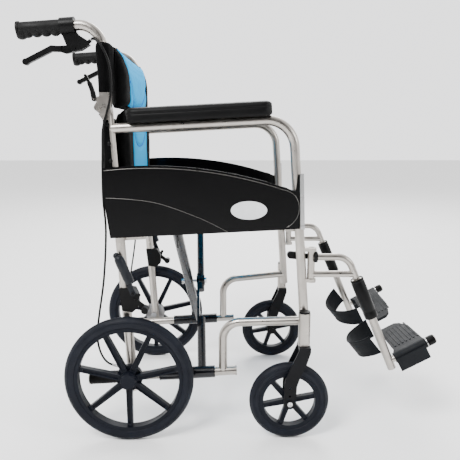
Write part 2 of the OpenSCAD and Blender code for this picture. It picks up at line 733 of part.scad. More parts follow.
// from the right lower tube up to the left rail, in two tubes joined by a flat link
module brace_a() color([0.08, 0.08, 0.1]) right() tilted() {
    brace_sleeve(-1);
    difference() {
        union() {
            rod(brace_at(1, brace_a_x, brace_a_x, 0), brace_at(1, brace_a_x, brace_a_x, 0.28), brace_a_r);
            rod(brace_at(1, brace_a_x, brace_a_x, 0.44), brace_at(1, brace_a_x, brace_a_x, 1), brace_a_r - 1);
            translate([brace_a_x - 10, 0, rail_rise / 2]) rotate([brace_angle, 0, 0])
                translate([0, -0.27 * brace_len, -12]) cube([6, 0.3 * brace_len, 24]);
            translate([brace_a_x - 11, 0, rail_rise / 2]) rotate([0, 90, 0]) cylinder(h = 22, r = 14);
        }
        translate([60, -lower_y, 0]) rotate([0, 90, 0]) cylinder(h = 150, r = tube_r + run_gap);
        translate([brace_a_x - 40, 0, rail_rise / 2]) rotate([0, 90, 0]) cylinder(h = 80, r = 4);
    }
    seat_rail(1);
}

// from the left lower tube up to the right rail
module brace_b() color([0.2, 0.23, 0.3]) right() tilted() {
    brace_sleeve(1);
    difference() {
        rod(brace_at(-1, brace_b_low, brace_b_high, 0), brace_at(-1, brace_b_low, brace_b_high, 1), brace_b_r);
        translate([60, lower_y, 0]) rotate([0, 90, 0]) cylinder(h = 150, r = tube_r + run_gap);
        translate([100, 0, rail_rise / 2]) rotate([0, 90, 0]) cylinder(h = 80, r = 4 + run_gap);
    }
    seat_rail(-1);
    // gusset in the corner under the rail
    translate([brace_b_high - 2, -lower_y, rail_rise]) rotate([90, 0, 90]) linear_extrude(4)
        polygon([[8, -6], [58, -52], [1, -44], [1, -10]]);
}

// bolt through both braces, with a spacer between them
module cross_bolt() color([0.4, 0.4, 0.42]) right() tilted() translate([0, 0, rail_rise / 2])
    rotate([0, 90, 0]) {
        translate([0, 0, 120]) cylinder(h = 66, r = 4);
        translate([0, 0, 117]) cylinder(h = 6, r = 7.5, $fn = 6);
        translate([0, 0, brace_a_x + 11]) cylinder(h = 5, r = 7.5, $fn = 6);
    }

// ---- upholstery ----

module seat_sling() color([0.1, 0.1, 0.11]) right() tilted()
    translate([rail_back + 8, -lower_y + 2, rail_rise + tube_r + 0.3])
        cube([rail_front - rail_back - 22, 2 * lower_y - 4, seat_t]);

// upper back cushion with the sleeves that slip over the canes
module back_upper() color([0.15, 0.6, 0.85]) right() {
    low = hinge_h + 0.8;
    translate([-33, -203, low]) cube([36, 406, back_top - low]);
    for (s = [-1, 1]) {
        difference() {
            union() {
                translate([cane_x, s * frame_y, 813]) cylinder(h = 99, r = 15);
                translate([cane_x, s * (frame_y - 13) - 10, 813]) cube([14, 20, back_top - 2 - 813]);
            }
            translate([cane_x, s * frame_y, 800]) cylinder(h = 150, r = tube_r + 0.3);
            translate([cane_x, s * frame_y, 903]) cylinder(h = 30, r = tube_r + 1.6);
        }
    }
}

// lower back cushion and the pocket behind it
module back_lower() color([0.15, 0.6, 0.85]) right() {
    translate([-22, -200, 530]) cube([28, 400, hinge_h - 0.8 - 530]);
    translate([-58, -196, 545]) cube([22, 392, 215]);
    // sheet that reaches the uprights
    translate([-38, -211, 540]) cube([16, 422, 209]);
}

right() rear_upright();  // right_rear_upright
left() rear_upright();  // left_rear_upright
right() front_frame();  // right_front_frame
left() front_frame();  // left_front_frame
right() lower_tube();  // right_lower_tube
left() lower_tube();  // left_lower_tube
right() hoop_tube();  // right_hoop_tube
left() hoop_tube();  // left_hoop_tube
right() side_guard();  // right_side_guard
left() side_guard();  // left_side_guard
right() guard_strip();  // right_guard_strip
left() guard_strip();  // left_guard_strip
right() arm_pad();  // right_arm_pad
left() arm_pad();  // left_arm_pad
right() back_cane();  // right_back_cane
left() back_cane();  // left_back_cane
right() hand_grip();  // right_hand_grip
left() hand_grip();  // left_hand_grip
right() brake_clamp();  // right_brake_clamp
left() brake_clamp();  // left_brake_clamp
right() brake_lever();  // right_brake_lever
left() brake_lever();  // left_brake_lever
right() brake_cable();  // right_brake_cable
left() brake_cable(8);  // left_brake_cable
right() back_latch();  // right_back_latch
left() back_latch();  // left_back_latch
right() rear_tyre();  // right_rear_tyre
left() rear_tyre();  // left_rear_tyre
right() rear_wheel();  // right_rear_wheel
left() rear_wheel();  // left_rear_wheel
right() drum_brake();  // right_drum_brake
left() drum_brake();  // left_drum_brake
right() parking_clamp();  // right_parking_clamp
left() parking_clamp();  // left_parking_clamp
right() parking_lever();  // right_parking_lever
left() parking_lever();  // left_parking_lever
right() parking_shoe();  // right_parking_shoe
left() parking_shoe();  // left_parking_shoe
right() caster_fork();  // right_caster_fork
left() caster_fork();  // left_caster_fork
right() caster_tyre();  // right_caster_tyre
left() caster_tyre();  // left_caster_tyre
right() caster_wheel();  // right_caster_wheel
left() caster_wheel();  // left_caster_wheel
right() hanger_tube();  // right_hanger_tube
left() hanger_tube();  // left_hanger_tube
right() footrest_tube();  // right_footrest_tube
left() footrest_tube();  // left_footrest_tube
right() footplate();  // right_footplate
left() footplate();  // left_footplate
right() heel_loop();  // right_heel_loop
left() heel_loop();  // left_heel_loop
right() hanger_lock();  // right_hanger_lock
left() hanger_lock();  // left_hanger_lock
brace_a();
brace_b();
cross_bolt();
seat_sling();
back_upper();
back_lower();
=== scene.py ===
"""Looks for the folding transport wheelchair: fabric, cords, small fittings and every material."""
import json
import math

import bmesh
import bpy
import numpy as np
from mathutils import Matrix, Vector, noise
from mathutils.bvhtree import BVHTree


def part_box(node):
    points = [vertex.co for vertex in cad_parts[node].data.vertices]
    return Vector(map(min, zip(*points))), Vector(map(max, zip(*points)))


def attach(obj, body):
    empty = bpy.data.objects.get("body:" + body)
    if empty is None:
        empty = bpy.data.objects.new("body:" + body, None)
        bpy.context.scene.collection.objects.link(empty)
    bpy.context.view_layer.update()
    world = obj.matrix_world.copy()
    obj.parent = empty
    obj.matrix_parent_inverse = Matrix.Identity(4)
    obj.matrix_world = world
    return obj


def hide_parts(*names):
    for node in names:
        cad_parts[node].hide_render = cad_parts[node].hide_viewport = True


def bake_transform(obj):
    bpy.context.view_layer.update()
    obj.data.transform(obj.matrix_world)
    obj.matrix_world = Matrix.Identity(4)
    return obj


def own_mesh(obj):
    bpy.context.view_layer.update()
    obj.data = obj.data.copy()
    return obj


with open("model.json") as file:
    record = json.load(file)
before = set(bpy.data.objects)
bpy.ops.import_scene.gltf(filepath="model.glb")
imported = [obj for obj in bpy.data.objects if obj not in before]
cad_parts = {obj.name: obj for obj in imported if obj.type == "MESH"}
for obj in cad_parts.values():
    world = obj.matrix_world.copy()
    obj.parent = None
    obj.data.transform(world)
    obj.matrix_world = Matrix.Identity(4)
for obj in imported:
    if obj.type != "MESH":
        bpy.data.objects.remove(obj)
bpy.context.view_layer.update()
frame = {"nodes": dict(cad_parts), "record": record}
NODES = frame["nodes"]
SCENE = bpy.context.scene
SIDES = (("right", -1), ("left", 1))

# ---- sizes that part.scad sets, in millimetres unless they say otherwise ----

# where the rear axle lies along X, in metres: half way along the rear tyre
AXLE_X = sum(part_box("right_rear_tyre")[k].x for k in (0, 1)) / 2
# how far each side frame stands from the middle
FRAME_Y = 224
# the lower frame is tilted nose-up about a line under the rear axle, this high above the ground
TILT = math.radians(3)
LOWER_H = 135.4
# the seat rails, in the tilted frame
RAIL_Y = 200
RAIL_H = 358
RAIL_R = 11
# the rear upright stands at UPRIGHT_X at the axle's height, and leans back by this angle
UPRIGHT_LEAN = math.radians(3.3)
UPRIGHT_X = 3.5
# rear wheels and casters: radius, and where they stand
REAR_R = 152.5
REAR_Y = 254
CASTER_R = 95
CASTER_X = 379
CASTER_Y = 248.5


def chair(x, y, z):
    """A point given in millimetres from the rear axle's place on the ground."""
    return Vector((AXLE_X + x / 1000, y / 1000, z / 1000))


def tilted(x, y, z):
    """A point in the frame that part.scad tilts nose-up, in millimetres."""
    return chair(x * math.cos(TILT) - z * math.sin(TILT), y,
                 LOWER_H + x * math.sin(TILT) + z * math.cos(TILT))


def upright_x(z):
    """Where the middle of the rear upright lies along X at a height, in millimetres."""
    return UPRIGHT_X - (z - REAR_R) * math.tan(UPRIGHT_LEAN)


# ---- camera, lights and floor ----

# the camera of the photograph: place in millimetres, pitch and yaw in degrees
CAMERA_PLACE = (224.4, -1463.3, 717.0)
CAMERA_PITCH = -9.79
CAMERA_YAW = -0.65
SENSOR_WIDTH = 36
FOCAL_LENGTH = 42.6

WORLD_STRENGTH = 2.4
# the sky runs from dark to white between these two values of a direction's Y
SKY_FROM, SKY_TO = -0.7, 0.35
SKY_DARK = (0.03, 0.03, 0.032, 1)
SKY_BRIGHT = (1, 1, 1, 1)
BACKGROUND = (0.92, 0.92, 0.93, 1)
PAPER = (0.98, 0.98, 0.98)


def make_camera():
    data = bpy.data.cameras.new("camera")
    data.sensor_width = SENSOR_WIDTH
    data.lens = FOCAL_LENGTH
    cam = bpy.data.objects.new("camera", data)
    SCENE.collection.objects.link(cam)
    cam.location = chair(*CAMERA_PLACE)
    cam.rotation_euler = (math.radians(90 + CAMERA_PITCH), 0, math.radians(CAMERA_YAW))
    SCENE.camera = cam


def area_light(name, place, aim, size, power):
    """A round lamp at a place, in metres, that points at another."""
    data = bpy.data.lights.new(name, "AREA")
    data.shape = "DISK"
    data.size = size
    data.energy = power
    lamp = bpy.data.objects.new(name, data)
    lamp.location = place
    lamp.rotation_euler = (Vector(aim) - Vector(place)).to_track_quat("-Z", "Y").to_euler()
    SCENE.collection.objects.link(lamp)


def make_stage():
    """A sheet of paper on the floor, a sky that lights the metal, and three lamps."""
    bpy.ops.mesh.primitive_plane_add(size=30, location=(0, 0, 0))
    floor = bpy.context.object
    floor.name = "floor"
    floor.data.materials.append(plain_material("floor_paper", PAPER, 0.9))
    make_world()
    area_light("key", (-1.5, -2.2, 3.2), (0, 0, 0.4), 1.5, 190)
    area_light("fill", (2.8, -1.8, 1.8), (0, 0, 0.5), 0.9, 40)
    area_light("rim", (0.4, 3.2, 3.0), (0, 1.2, 0.2), 2.4, 130)


def make_world():
    """The sky: a gradient that lights the chair, and a plain grey where the camera looks past it."""
    world = bpy.data.worlds.new("studio")
    world.use_nodes = True
    tree = world.node_tree
    back = tree.nodes["Background"]
    back.inputs["Strength"].default_value = WORLD_STRENGTH
    # bright on the chair's left and dark on its right, where the camera is, so that metal shows its form
    coord = tree.nodes.new("ShaderNodeTexCoord")
    parts = tree.nodes.new("ShaderNodeSeparateXYZ")
    tree.links.new(coord.outputs["Generated"], parts.inputs["Vector"])
    span = tree.nodes.new("ShaderNodeMapRange")
    span.inputs["From Min"].default_value = SKY_FROM
    span.inputs["From Max"].default_value = SKY_TO
    tree.links.new(parts.outputs["Y"], span.inputs["Value"])
    ramp = tree.nodes.new("ShaderNodeValToRGB")
    ramp.color_ramp.elements[0].color = SKY_DARK
    ramp.color_ramp.elements[1].color = SKY_BRIGHT
    tree.links.new(span.outputs["Result"], ramp.inputs["Fac"])
    # what the camera itself sees of the sky is one light grey from every side
    path = tree.nodes.new("ShaderNodeLightPath")
    mix = tree.nodes.new("ShaderNodeMix")
    mix.data_type = "RGBA"
    mix.inputs["B"].default_value = BACKGROUND
    tree.links.new(path.outputs["Is Camera Ray"], mix.inputs["Factor"])
    tree.links.new(ramp.outputs["Color"], mix.inputs["A"])
    tree.links.new(mix.outputs["Result"], back.inputs["Color"])
    SCENE.world = world


# ---- materials ----

# a wave texture at scale 1 runs through this much of its phase in a metre, and one thread is half a wave
WAVE_PHASE = 20
THREAD_PHASE = 3.2


def rgba(value):
    """A colour with its alpha, from three channels or from one number for all of them."""
    return (*value, 1) if isinstance(value, tuple) else (value, value, value, 1)


class Nodes:
    """A material's node tree, with a short way to add and join nodes."""

    def __init__(self, name):
        self.mat = bpy.data.materials.new(name)
        self.mat.use_nodes = True
        self.tree = self.mat.node_tree
        self.shader = self.tree.nodes["Principled BSDF"]
        self.place = self.tree.nodes.new("ShaderNodeTexCoord").outputs["Object"]

    def add(self, kind, **values):
        node = self.tree.nodes.new(kind)
        for key, value in values.items():
            if key in node.inputs:
                node.inputs[key].default_value = value
            else:
                setattr(node, key, value)
        return node

    def join(self, a, b):
        self.tree.links.new(a, b)

    def set(self, **values):
        for key, value in values.items():
            self.shader.inputs[key.replace("_", " ")].default_value = value

    def scaled(self, scale):
        node = self.add("ShaderNodeMapping")
        node.inputs["Scale"].default_value = scale
        self.join(self.place, node.inputs["Vector"])
        return node.outputs["Vector"]

    def noise(self, scale, detail=3.0, stretch=(1, 1, 1)):
        node = self.add("ShaderNodeTexNoise", Scale=scale, Detail=detail)
        self.join(self.scaled(stretch), node.inputs["Vector"])
        return node.outputs["Fac"]

    def ramp(self, value, low, high, from_=0.3, to=0.7):
        """Runs a value through a ramp between two colours or greys."""
        node = self.add("ShaderNodeValToRGB")
        ends = node.color_ramp.elements
        ends[0].position, ends[1].position = from_, to
        ends[0].color, ends[1].color = rgba(low), rgba(high)
        self.join(value, node.inputs["Fac"])
        return node.outputs["Color"]

    def bump(self, height, strength, distance):
        node = self.add("ShaderNodeBump", Strength=strength, Distance=distance)
        self.join(height, node.inputs["Height"])
        if self.shader.inputs["Normal"].is_linked:
            before = self.shader.inputs["Normal"].links[0].from_socket
            self.join(before, node.inputs["Normal"])
        self.join(node.outputs["Normal"], self.shader.inputs["Normal"])

    def colour(self, value):
        """Joins a colour to the shader's base colour."""
        self.join(value, self.shader.inputs["Base Color"])

    def roughness(self, scale, detail, rough):
        """Uneven gloss between two values of roughness."""
        self.join(self.ramp(self.noise(scale, detail), *rough), self.shader.inputs["Roughness"])

    def combine(self, operation, a, b):
        """The result of a math node on two values."""
        node = self.add("ShaderNodeMath", operation=operation)
        self.join(a, node.inputs[0])
        self.join(b, node.inputs[1])
        return node.outputs[0]


def plain_material(name, colour, rough):
    """An even matt surface, such as paper."""
    m = Nodes(name)
    m.set(Base_Color=(*colour, 1), Roughness=rough)
    m.colour(m.ramp(m.noise(3), tuple(c * 0.99 for c in colour), colour))
    return m.mat


def metal(name, dark, light, rough=(0.26, 0.4)):
    """Satin anodised or brushed metal: faint cloudiness, fine grain and a few handling marks."""
    m = Nodes(name)
    m.set(Metallic=1.0)
    m.colour(m.ramp(m.noise(14, 4), dark, light, 0.25, 0.8))
    m.roughness(60, 6, rough)
    m.bump(m.noise(900, 2), 0.06, 0.0002)
    m.bump(m.noise(120, 5), 0.05, 0.0004)
    return m.mat


def plastic(name, dark, light, rough, grain_size=1400, grain=0.2, gloss_coat=0.0, specular=0.5):
    """Moulded plastic with a fine texture and slightly uneven gloss."""
    m = Nodes(name)
    m.set(Coat_Weight=gloss_coat, Coat_Roughness=0.06, Specular_IOR_Level=specular)
    m.colour(m.ramp(m.noise(9, 4), dark, light))
    m.roughness(35, 5, rough)
    if grain:
        cells = m.add("ShaderNodeTexVoronoi", Scale=grain_size)
        m.join(m.place, cells.inputs["Vector"])
        m.bump(cells.outputs["Distance"], grain, 0.0003)
    return m.mat


def rubber(name, dark, light, rough=(0.5, 0.68)):
    """Dull rubber with a little dust on it."""
    m = Nodes(name)
    m.set(Specular_IOR_Level=0.18)
    m.colour(m.ramp(m.noise(22, 6), dark, light, 0.35, 0.75))
    m.roughness(50, 4, rough)
    m.bump(m.noise(700, 3), 0.15, 0.0004)
    return m.mat


def woven(name, dark, light, pitch=0.0009, sheen=0.08):
    """Woven nylon: crossed sets of threads, with cloudy colour and a soft sheen."""
    m = Nodes(name)
    m.set(Sheen_Weight=sheen, Sheen_Roughness=0.45, Specular_IOR_Level=0.06)
    waves = []
    for axis in ("X", "Z", "Y"):
        wave = m.add("ShaderNodeTexWave", bands_direction=axis,
                     Scale=1 / pitch / WAVE_PHASE * THREAD_PHASE, Distortion=0.6, Detail=1.0)
        m.join(m.place, wave.inputs["Vector"])
        waves.append(wave.outputs["Fac"])
    threads = m.combine("MULTIPLY", m.combine("MAXIMUM", waves[0], waves[1]), waves[2])
    m.colour(m.ramp(m.noise(11, 5), dark, light, 0.3, 0.75))
    m.roughness(40, 4, (0.75, 0.95))
    m.bump(threads, 0.5, 0.0004)
    m.bump(m.noise(55, 4), 0.12, 0.003)
    return m.mat


def air_mesh(name, thread, hole, pitch=0.0032):
    """Spacer mesh: bright knitted threads round small darker holes."""
    m = Nodes(name)
    m.set(Sheen_Weight=0.02, Sheen_Roughness=0.4, Roughness=0.8, Specular_IOR_Level=0.05)
    cells = m.add("ShaderNodeTexVoronoi", Scale=1 / pitch, Randomness=0.12)
    m.join(m.place, cells.inputs["Vector"])
    shade = m.ramp(cells.outputs["Distance"], hole, thread, 0.12, 0.42)
    cloud = m.add("ShaderNodeMix", data_type="RGBA", blend_type="MULTIPLY")
    cloud.inputs["Factor"].default_value = 0.35
    m.join(shade, cloud.inputs["A"])
    m.join(m.ramp(m.noise(7, 4), 0.82, 1.0), cloud.inputs["B"])
    m.colour(cloud.outputs["Result"])
    m.bump(cells.outputs["Distance"], 0.5, 0.0012)
    m.bump(m.noise(30, 4), 0.15, 0.004)
    return m.mat


# materials of small pieces (trim, and lines of painted highlight and painted shade), and the slot of the
# larger piece that each belongs to
SLOT_NAMES = {"blue_binding": "back_mesh", "guard_line": "strip_metal", "badge_white": "strip_metal"}


def make_materials():
    mats = {}
    mats["frame_metal"] = metal("champagne_aluminium", (0.36, 0.335, 0.305), (0.48, 0.45, 0.415))
    mats["strip_metal"] = metal("strip_aluminium", (0.42, 0.42, 0.42), (0.56, 0.56, 0.56))
    mats["gloss_black"] = plastic("gloss_black_shell", (0.0012, 0.0012, 0.0014), (0.0022, 0.0022, 0.0024),
                                  (0.18, 0.26), grain=0, gloss_coat=0.04, specular=0.09)
    mats["pad_foam"] = plastic("pad_skin", (0.0018, 0.0018, 0.0019), (0.0034, 0.0034, 0.0036),
                               (0.42, 0.54), 900, 0.3, specular=0.12)
    mats["grip_rubber"] = rubber("grip_rubber", (0.0016, 0.0016, 0.0017), (0.0032, 0.0032, 0.0033))
    mats["black_plastic"] = plastic("black_plastic", (0.0014, 0.0014, 0.0015), (0.0028, 0.0028, 0.003),
                                    (0.34, 0.48), specular=0.12)
    mats["cable_black"] = rubber("cable_sheath", (0.0014, 0.0014, 0.0015), (0.0026, 0.0026, 0.0027),
                                 (0.35, 0.5))
    mats["tyre_rubber"] = rubber("tyre_rubber", (0.003, 0.004, 0.008), (0.006, 0.008, 0.014))
    mats["wheel_plastic"] = plastic("wheel_plastic", (0.0025, 0.0035, 0.007), (0.005, 0.0065, 0.011),
                                    (0.36, 0.5), specular=0.12)
    mats["brake_steel"] = metal("brake_steel", (0.30, 0.30, 0.31), (0.45, 0.45, 0.46), (0.32, 0.5))
    mats["lever_grey"] = rubber("lever_sleeve", (0.006, 0.007, 0.010), (0.011, 0.013, 0.017), (0.32, 0.45))
    mats["fork_plastic"] = plastic("fork_plastic", (0.0018, 0.0018, 0.0026), (0.0036, 0.0038, 0.005),
                                   (0.3, 0.42), specular=0.12)
    mats["plate_plastic"] = plastic("plate_plastic", (0.004, 0.005, 0.0065), (0.008, 0.009, 0.011),
                                    (0.45, 0.6), 800, 0.4, specular=0.12)
    mats["strap_fabric"] = woven("strap_webbing", (0.004, 0.005, 0.006), (0.008, 0.009, 0.011), 0.0012)
    mats["brace_paint"] = plastic("brace_paint", (0.0016, 0.0018, 0.003), (0.003, 0.0034, 0.0055),
                                  (0.22, 0.32), grain=0, gloss_coat=0.15, specular=0.3)
    mats["bolt_steel"] = metal("bolt_steel", (0.5, 0.5, 0.5), (0.68, 0.68, 0.68), (0.22, 0.35))
    mats["seat_fabric"] = woven("black_nylon", (0.0006, 0.0006, 0.0007), (0.0016, 0.0016, 0.0018),
                                sheen=0.01)
    mats["back_mesh"] = air_mesh("blue_mesh", (0.0, 0.40, 0.80), (0.0, 0.24, 0.64))
    # darker than the blue mesh: painted shade along the sewn seam
    mats["blue_binding"] = woven("blue_binding", (0.004, 0.10, 0.55), (0.01, 0.16, 0.68))
    # light metal lines on the black guard: painted highlight
    mats["guard_line"] = metal("guard_line", (0.10, 0.097, 0.092), (0.16, 0.155, 0.148))
    mats["badge_white"] = plastic("badge_enamel", (0.72, 0.74, 0.75), (0.80, 0.81, 0.82), (0.2, 0.3),
                                  grain=0, gloss_coat=0.5)
    return mats


def dress_cad():
    """Gives every CAD node the material of its slot."""
    slot_of = {s["node"]: s["material_slot"] for s in frame["record"]["subparts"]}
    for name, obj in NODES.items():
        obj.data.materials.clear()
        obj.data.materials.append(MATS[slot_of[name]])


# ---- mesh building ----

def new_piece(name, verts, faces, slot, body=None, angle=40):
    """A mesh piece with its material, outward faces and smooth shading, riding on a body."""
    mesh = bpy.data.meshes.new(name)
    mesh.from_pydata([tuple(v) for v in verts], [], faces)
    bm = bmesh.new()
    bm.from_mesh(mesh)
    bmesh.ops.recalc_face_normals(bm, faces=bm.faces)
    bm.to_mesh(mesh)
    bm.free()
    mesh.shade_smooth()
    obj = bpy.data.objects.new(name, mesh)
    SCENE.collection.objects.link(obj)
    mesh.materials.append(MATS[slot])
    if angle:
        sharpen(mesh, angle)
    SLOT_NAMES.get(slot, slot)
    if body:
        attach(obj, body)
    return obj


def sharpen(mesh, angle):
    """Keeps edges steeper than the angle sharp."""
    bm = bmesh.new()
    bm.from_mesh(mesh)
    for edge in bm.edges:
        if len(edge.link_faces) == 2 and edge.calc_face_angle(0) > math.radians(angle):
            edge.smooth = False
    bm.to_mesh(mesh)
    bm.free()


def loft(rings, closed=False):
    """Quads between rings of points, with a face on each end unless the rings close on themselves."""
    n = len(rings[0])
    verts = [p for ring in rings for p in ring]
    faces = []
    rows = len(rings) if closed else len(rings) - 1
    for i in range(rows):
        a, b = i * n, (i + 1) % len(rings) * n
        faces += [(a + k, a + (k + 1) % n, b + (k + 1) % n, b + k) for k in range(n)]
    if not closed:
        faces += [tuple(range(n)), tuple(range(len(verts) - n, len(verts)))]
    return verts, faces


def merged(parts):
    """Several (verts, faces) pairs as one."""
    verts, faces = [], []
    for v, f in parts:
        faces += [tuple(k + len(verts) for k in face) for face in f]
        verts += list(v)
    return verts, faces


def heading(points, k):
    """The direction of a path at its point k."""
    return (points[min(k + 1, len(points) - 1)] - points[max(k - 1, 0)]).normalized()


def frames_along(points):
    """At each point of a path, two unit directions square to it, which turn as little as they can."""
    points = [Vector(p) for p in points]
    side = Vector((0.13, 0.2, 1))
    for k, p in enumerate(points):
        ahead = heading(points, k)
        side = (side - ahead * side.dot(ahead)).normalized()
        yield p, side, ahead.cross(side)


def turns(steps):
    """The angles of one turn in equal steps."""
    return [2 * math.pi * i / steps for i in range(steps)]


def tube(points, radius, sides=10):
    """A round tube along a path; the radius is one number or one for each point."""
    rings = []
    for k, (p, u, v) in enumerate(frames_along(points)):
        r = radius[k] if hasattr(radius, "__len__") else radius
        rings.append([p + (u * math.cos(a) + v * math.sin(a)) * r for a in turns(sides)])
    return loft(rings)


def lathe(profile, centre, axis, steps=64):
    """A closed profile of (radius, distance along the axis), in millimetres, turned about the axis."""
    profile = [(r / 1000, t / 1000) for r, t in profile]
    axis = Vector(axis).normalized()
    u = axis.orthogonal().normalized()
    v = axis.cross(u)
    rings = []
    for a in turns(steps):
        out = u * math.cos(a) + v * math.sin(a)
        rings.append([Vector(centre) + out * r + axis * t for r, t in profile])
    return loft(rings, closed=True)


def rounded(points, n=6):
    """A smooth Catmull-Rom path through the points, with n steps between each two."""
    points = [Vector(p) for p in points]
    out = []
    for i in range(len(points) - 1):
        p0, p1 = points[max(i - 1, 0)], points[i]
        p2, p3 = points[i + 1], points[min(i + 2, len(points) - 1)]
        for k in range(n):
            t = k / n
            out.append(0.5 * ((2 * p1) + (p2 - p0) * t + (2 * p0 - 5 * p1 + 4 * p2 - p3) * t ** 2
                              + (3 * p1 - p0 - 3 * p2 + p3) * t ** 3))
    out.append(points[-1])
    return out


def path_length(points):
    return sum((b - a).length for a, b in zip(points, points[1:]))


def mirror_y(points, sign):
    """Right-hand points are given with negative Y; the left side is their mirror image."""
    return [Vector((p[0], p[1] * -sign, p[2])) for p in points]


# ---- stuffed pieces ----

# half the thickness of a pad's sewn edge, in millimetres
THIN_EDGE = 1.2


def two_sided(nu, nv):
    """Faces of a closed sheet: two grids of nu by nv squares, one point list after the other, and a rim."""
    n, count = nu + 1, (nu + 1) * (nv + 1)
    faces = []
    for j in range(nv):
        for i in range(nu):
            q = (j * n + i, j * n + i + 1, (j + 1) * n + i + 1, (j + 1) * n + i)
            faces += [q, tuple(count + k for k in reversed(q))]
    rim = list(range(n)) + [j * n + nu for j in range(1, nv + 1)]
    rim += [nv * n + i for i in range(nu - 1, -1, -1)] + [j * n for j in range(nv - 1, 0, -1)]
    faces += [(a, b, count + b, count + a) for a, b in zip(rim, rim[1:] + rim[:1])]
    return faces


def middle_and_half(span):
    """The middle and half the length of a (low, high) pair."""
    return sum(span) / 2, (span[1] - span[0]) / 2


def pad_shape(place, u_range, v_range, front, back, power, corner, nu=60, nv=40):
    """A closed pad over a rounded rectangle, crowned between front(u, v) and back(u, v).

    A high power keeps it full close to its edges, and corner is how much its sides pull in there."""
    uc, hu = middle_and_half(u_range)
    vc, hv = middle_and_half(v_range)
    sides = ([], [])
    for j in range(nv + 1):
        for i in range(nu + 1):
            a = math.sin((2 * i / nu - 1) * math.pi / 2)
            b = math.sin((2 * j / nv - 1) * math.pi / 2)
            full = math.sqrt(max(0.0, (1 - abs(a) ** power) * (1 - abs(b) ** power)))
            u = uc + hu * a * (1 - corner * abs(b) ** 8)
            v = vc + hv * b * (1 - corner * abs(a) ** 8)
            f, k = front(u, v), back(u, v)
            mid, half = (f + k) / 2, (f - k) / 2
            half = max(half * full, THIN_EDGE)
            sides[0].append(place(u, v, mid + half))
            sides[1].append(place(u, v, mid - half))
    return sides[0] + sides[1], two_sided(nu, nv)


def coords(obj):
    co = np.empty(len(obj.data.vertices) * 3)
    obj.data.vertices.foreach_get("co", co)
    return co.reshape(-1, 3)


def set_coords(obj, co):
    obj.data.vertices.foreach_set("co", np.asarray(co, dtype=np.float32).ravel())
    obj.data.update()


def bake_modifiers(obj):
    """Leaves the piece as the mesh that its modifiers make."""
    bpy.context.view_layer.update()
    graph = bpy.context.evaluated_depsgraph_get()
    mesh = bpy.data.meshes.new_from_object(obj.evaluated_get(graph), depsgraph=graph)
    materials = list(obj.data.materials)
    obj.modifiers.clear()
    obj.data = mesh
    mesh.materials.clear()
    for m in materials:
        mesh.materials.append(m)


def subdivide(obj):
    """One finished step of subdivision, with smooth shading."""
    mod = obj.modifiers.new("smooth", "SUBSURF")
    mod.levels = mod.render_levels = 1
    bake_modifiers(obj)
    obj.data.shade_smooth()


def inflate(obj, cap, voxel=0.005, pressure=4.0, frames=20):
    """Swells a closed shape as stuffed fabric does, and leaves only its finished mesh."""
    mod = obj.modifiers.new("voxels", "REMESH")
    mod.mode = "VOXEL"
    mod.voxel_size = voxel
    bake_modifiers(obj)
    start = coords(obj)
    cloth = obj.modifiers.new("cloth", "CLOTH")
    s = cloth.settings
    s.quality = 4
    s.mass = 0.3
    s.tension_stiffness = s.compression_stiffness = 15
    s.bending_stiffness = 0.5
    s.use_pressure = True
    s.uniform_pressure_force = pressure
    s.effector_weights.gravity = 0
    cloth.point_cache.frame_start, cloth.point_cache.frame_end = 1, frames
    for f in range(1, frames + 1):
        SCENE.frame_set(f)
    graph = bpy.context.evaluated_depsgraph_get()
    made = obj.evaluated_get(graph).to_mesh()
    end = np.empty(len(made.vertices) * 3)
    made.vertices.foreach_get("co", end)
    obj.evaluated_get(graph).to_mesh_clear()
    obj.modifiers.clear()
    SCENE.frame_set(1)
    move = end.reshape(-1, 3) - start
    far = np.linalg.norm(move, axis=1, keepdims=True)
    set_coords(obj, start + move * np.minimum(1, cap / np.maximum(far, 1e-9)))
    subdivide(obj)


def dent(obj, lines, toward, depth, width):
    """Pulls a sewn line into a pad's face. lines are lists of points near its surface."""
    co = coords(obj)
    normal = Vector(toward).normalized()
    toward = np.array(normal)
    bm = bmesh.new()
    bm.from_mesh(obj.data)
    bm.normal_update()
    facing = np.array([v.normal.dot(normal) for v in bm.verts])
    bm.free()
    flat = co - np.outer(co @ toward, toward)
    near = np.full(len(co), 1.0)
    for line in lines:
        pts = np.array([list(p) for p in line])
        pts = pts - np.outer(pts @ toward, toward)
        for p, q in zip(pts, pts[1:]):
            d = q - p
            t = np.clip(((flat - p) @ d) / max(d @ d, 1e-12), 0, 1)
            near = np.minimum(near, np.linalg.norm(flat - p - np.outer(t, d), axis=1))
    pull = depth * np.exp(-(near / width) ** 2) * np.clip(facing * 2, 0, 1)
    set_coords(obj, co - np.outer(pull, toward))


def ruffle(obj, amount, size):
    """Slack in the cloth: long shallow waves and small ones, along each point's normal."""
    bm = bmesh.new()
    bm.from_mesh(obj.data)
    bm.normal_update()
    for v in bm.verts:
        p = v.co / size
        wave = noise.noise(Vector((p.x, p.y * 0.7, p.z * 1.3)))
        wave += 0.4 * noise.noise(p * 2.7)
        v.co += v.normal * (amount * wave)
    bm.to_mesh(obj.data)
    bm.free()


class Surface:
    """Finds the outer face of finished pieces along one direction."""

    def __init__(self, obj, direction):
        bm = bmesh.new()
        bm.from_mesh(obj.data)
        self.tree = BVHTree.FromBMesh(bm)
        bm.free()
        self.direction = Vector(direction).normalized()

    def at(self, p):
        hit = self.tree.ray_cast(Vector(p) + self.direction * 0.2, -self.direction)
        if hit[0] is None:
            hit = self.tree.find_nearest(Vector(p))
        return hit[0]


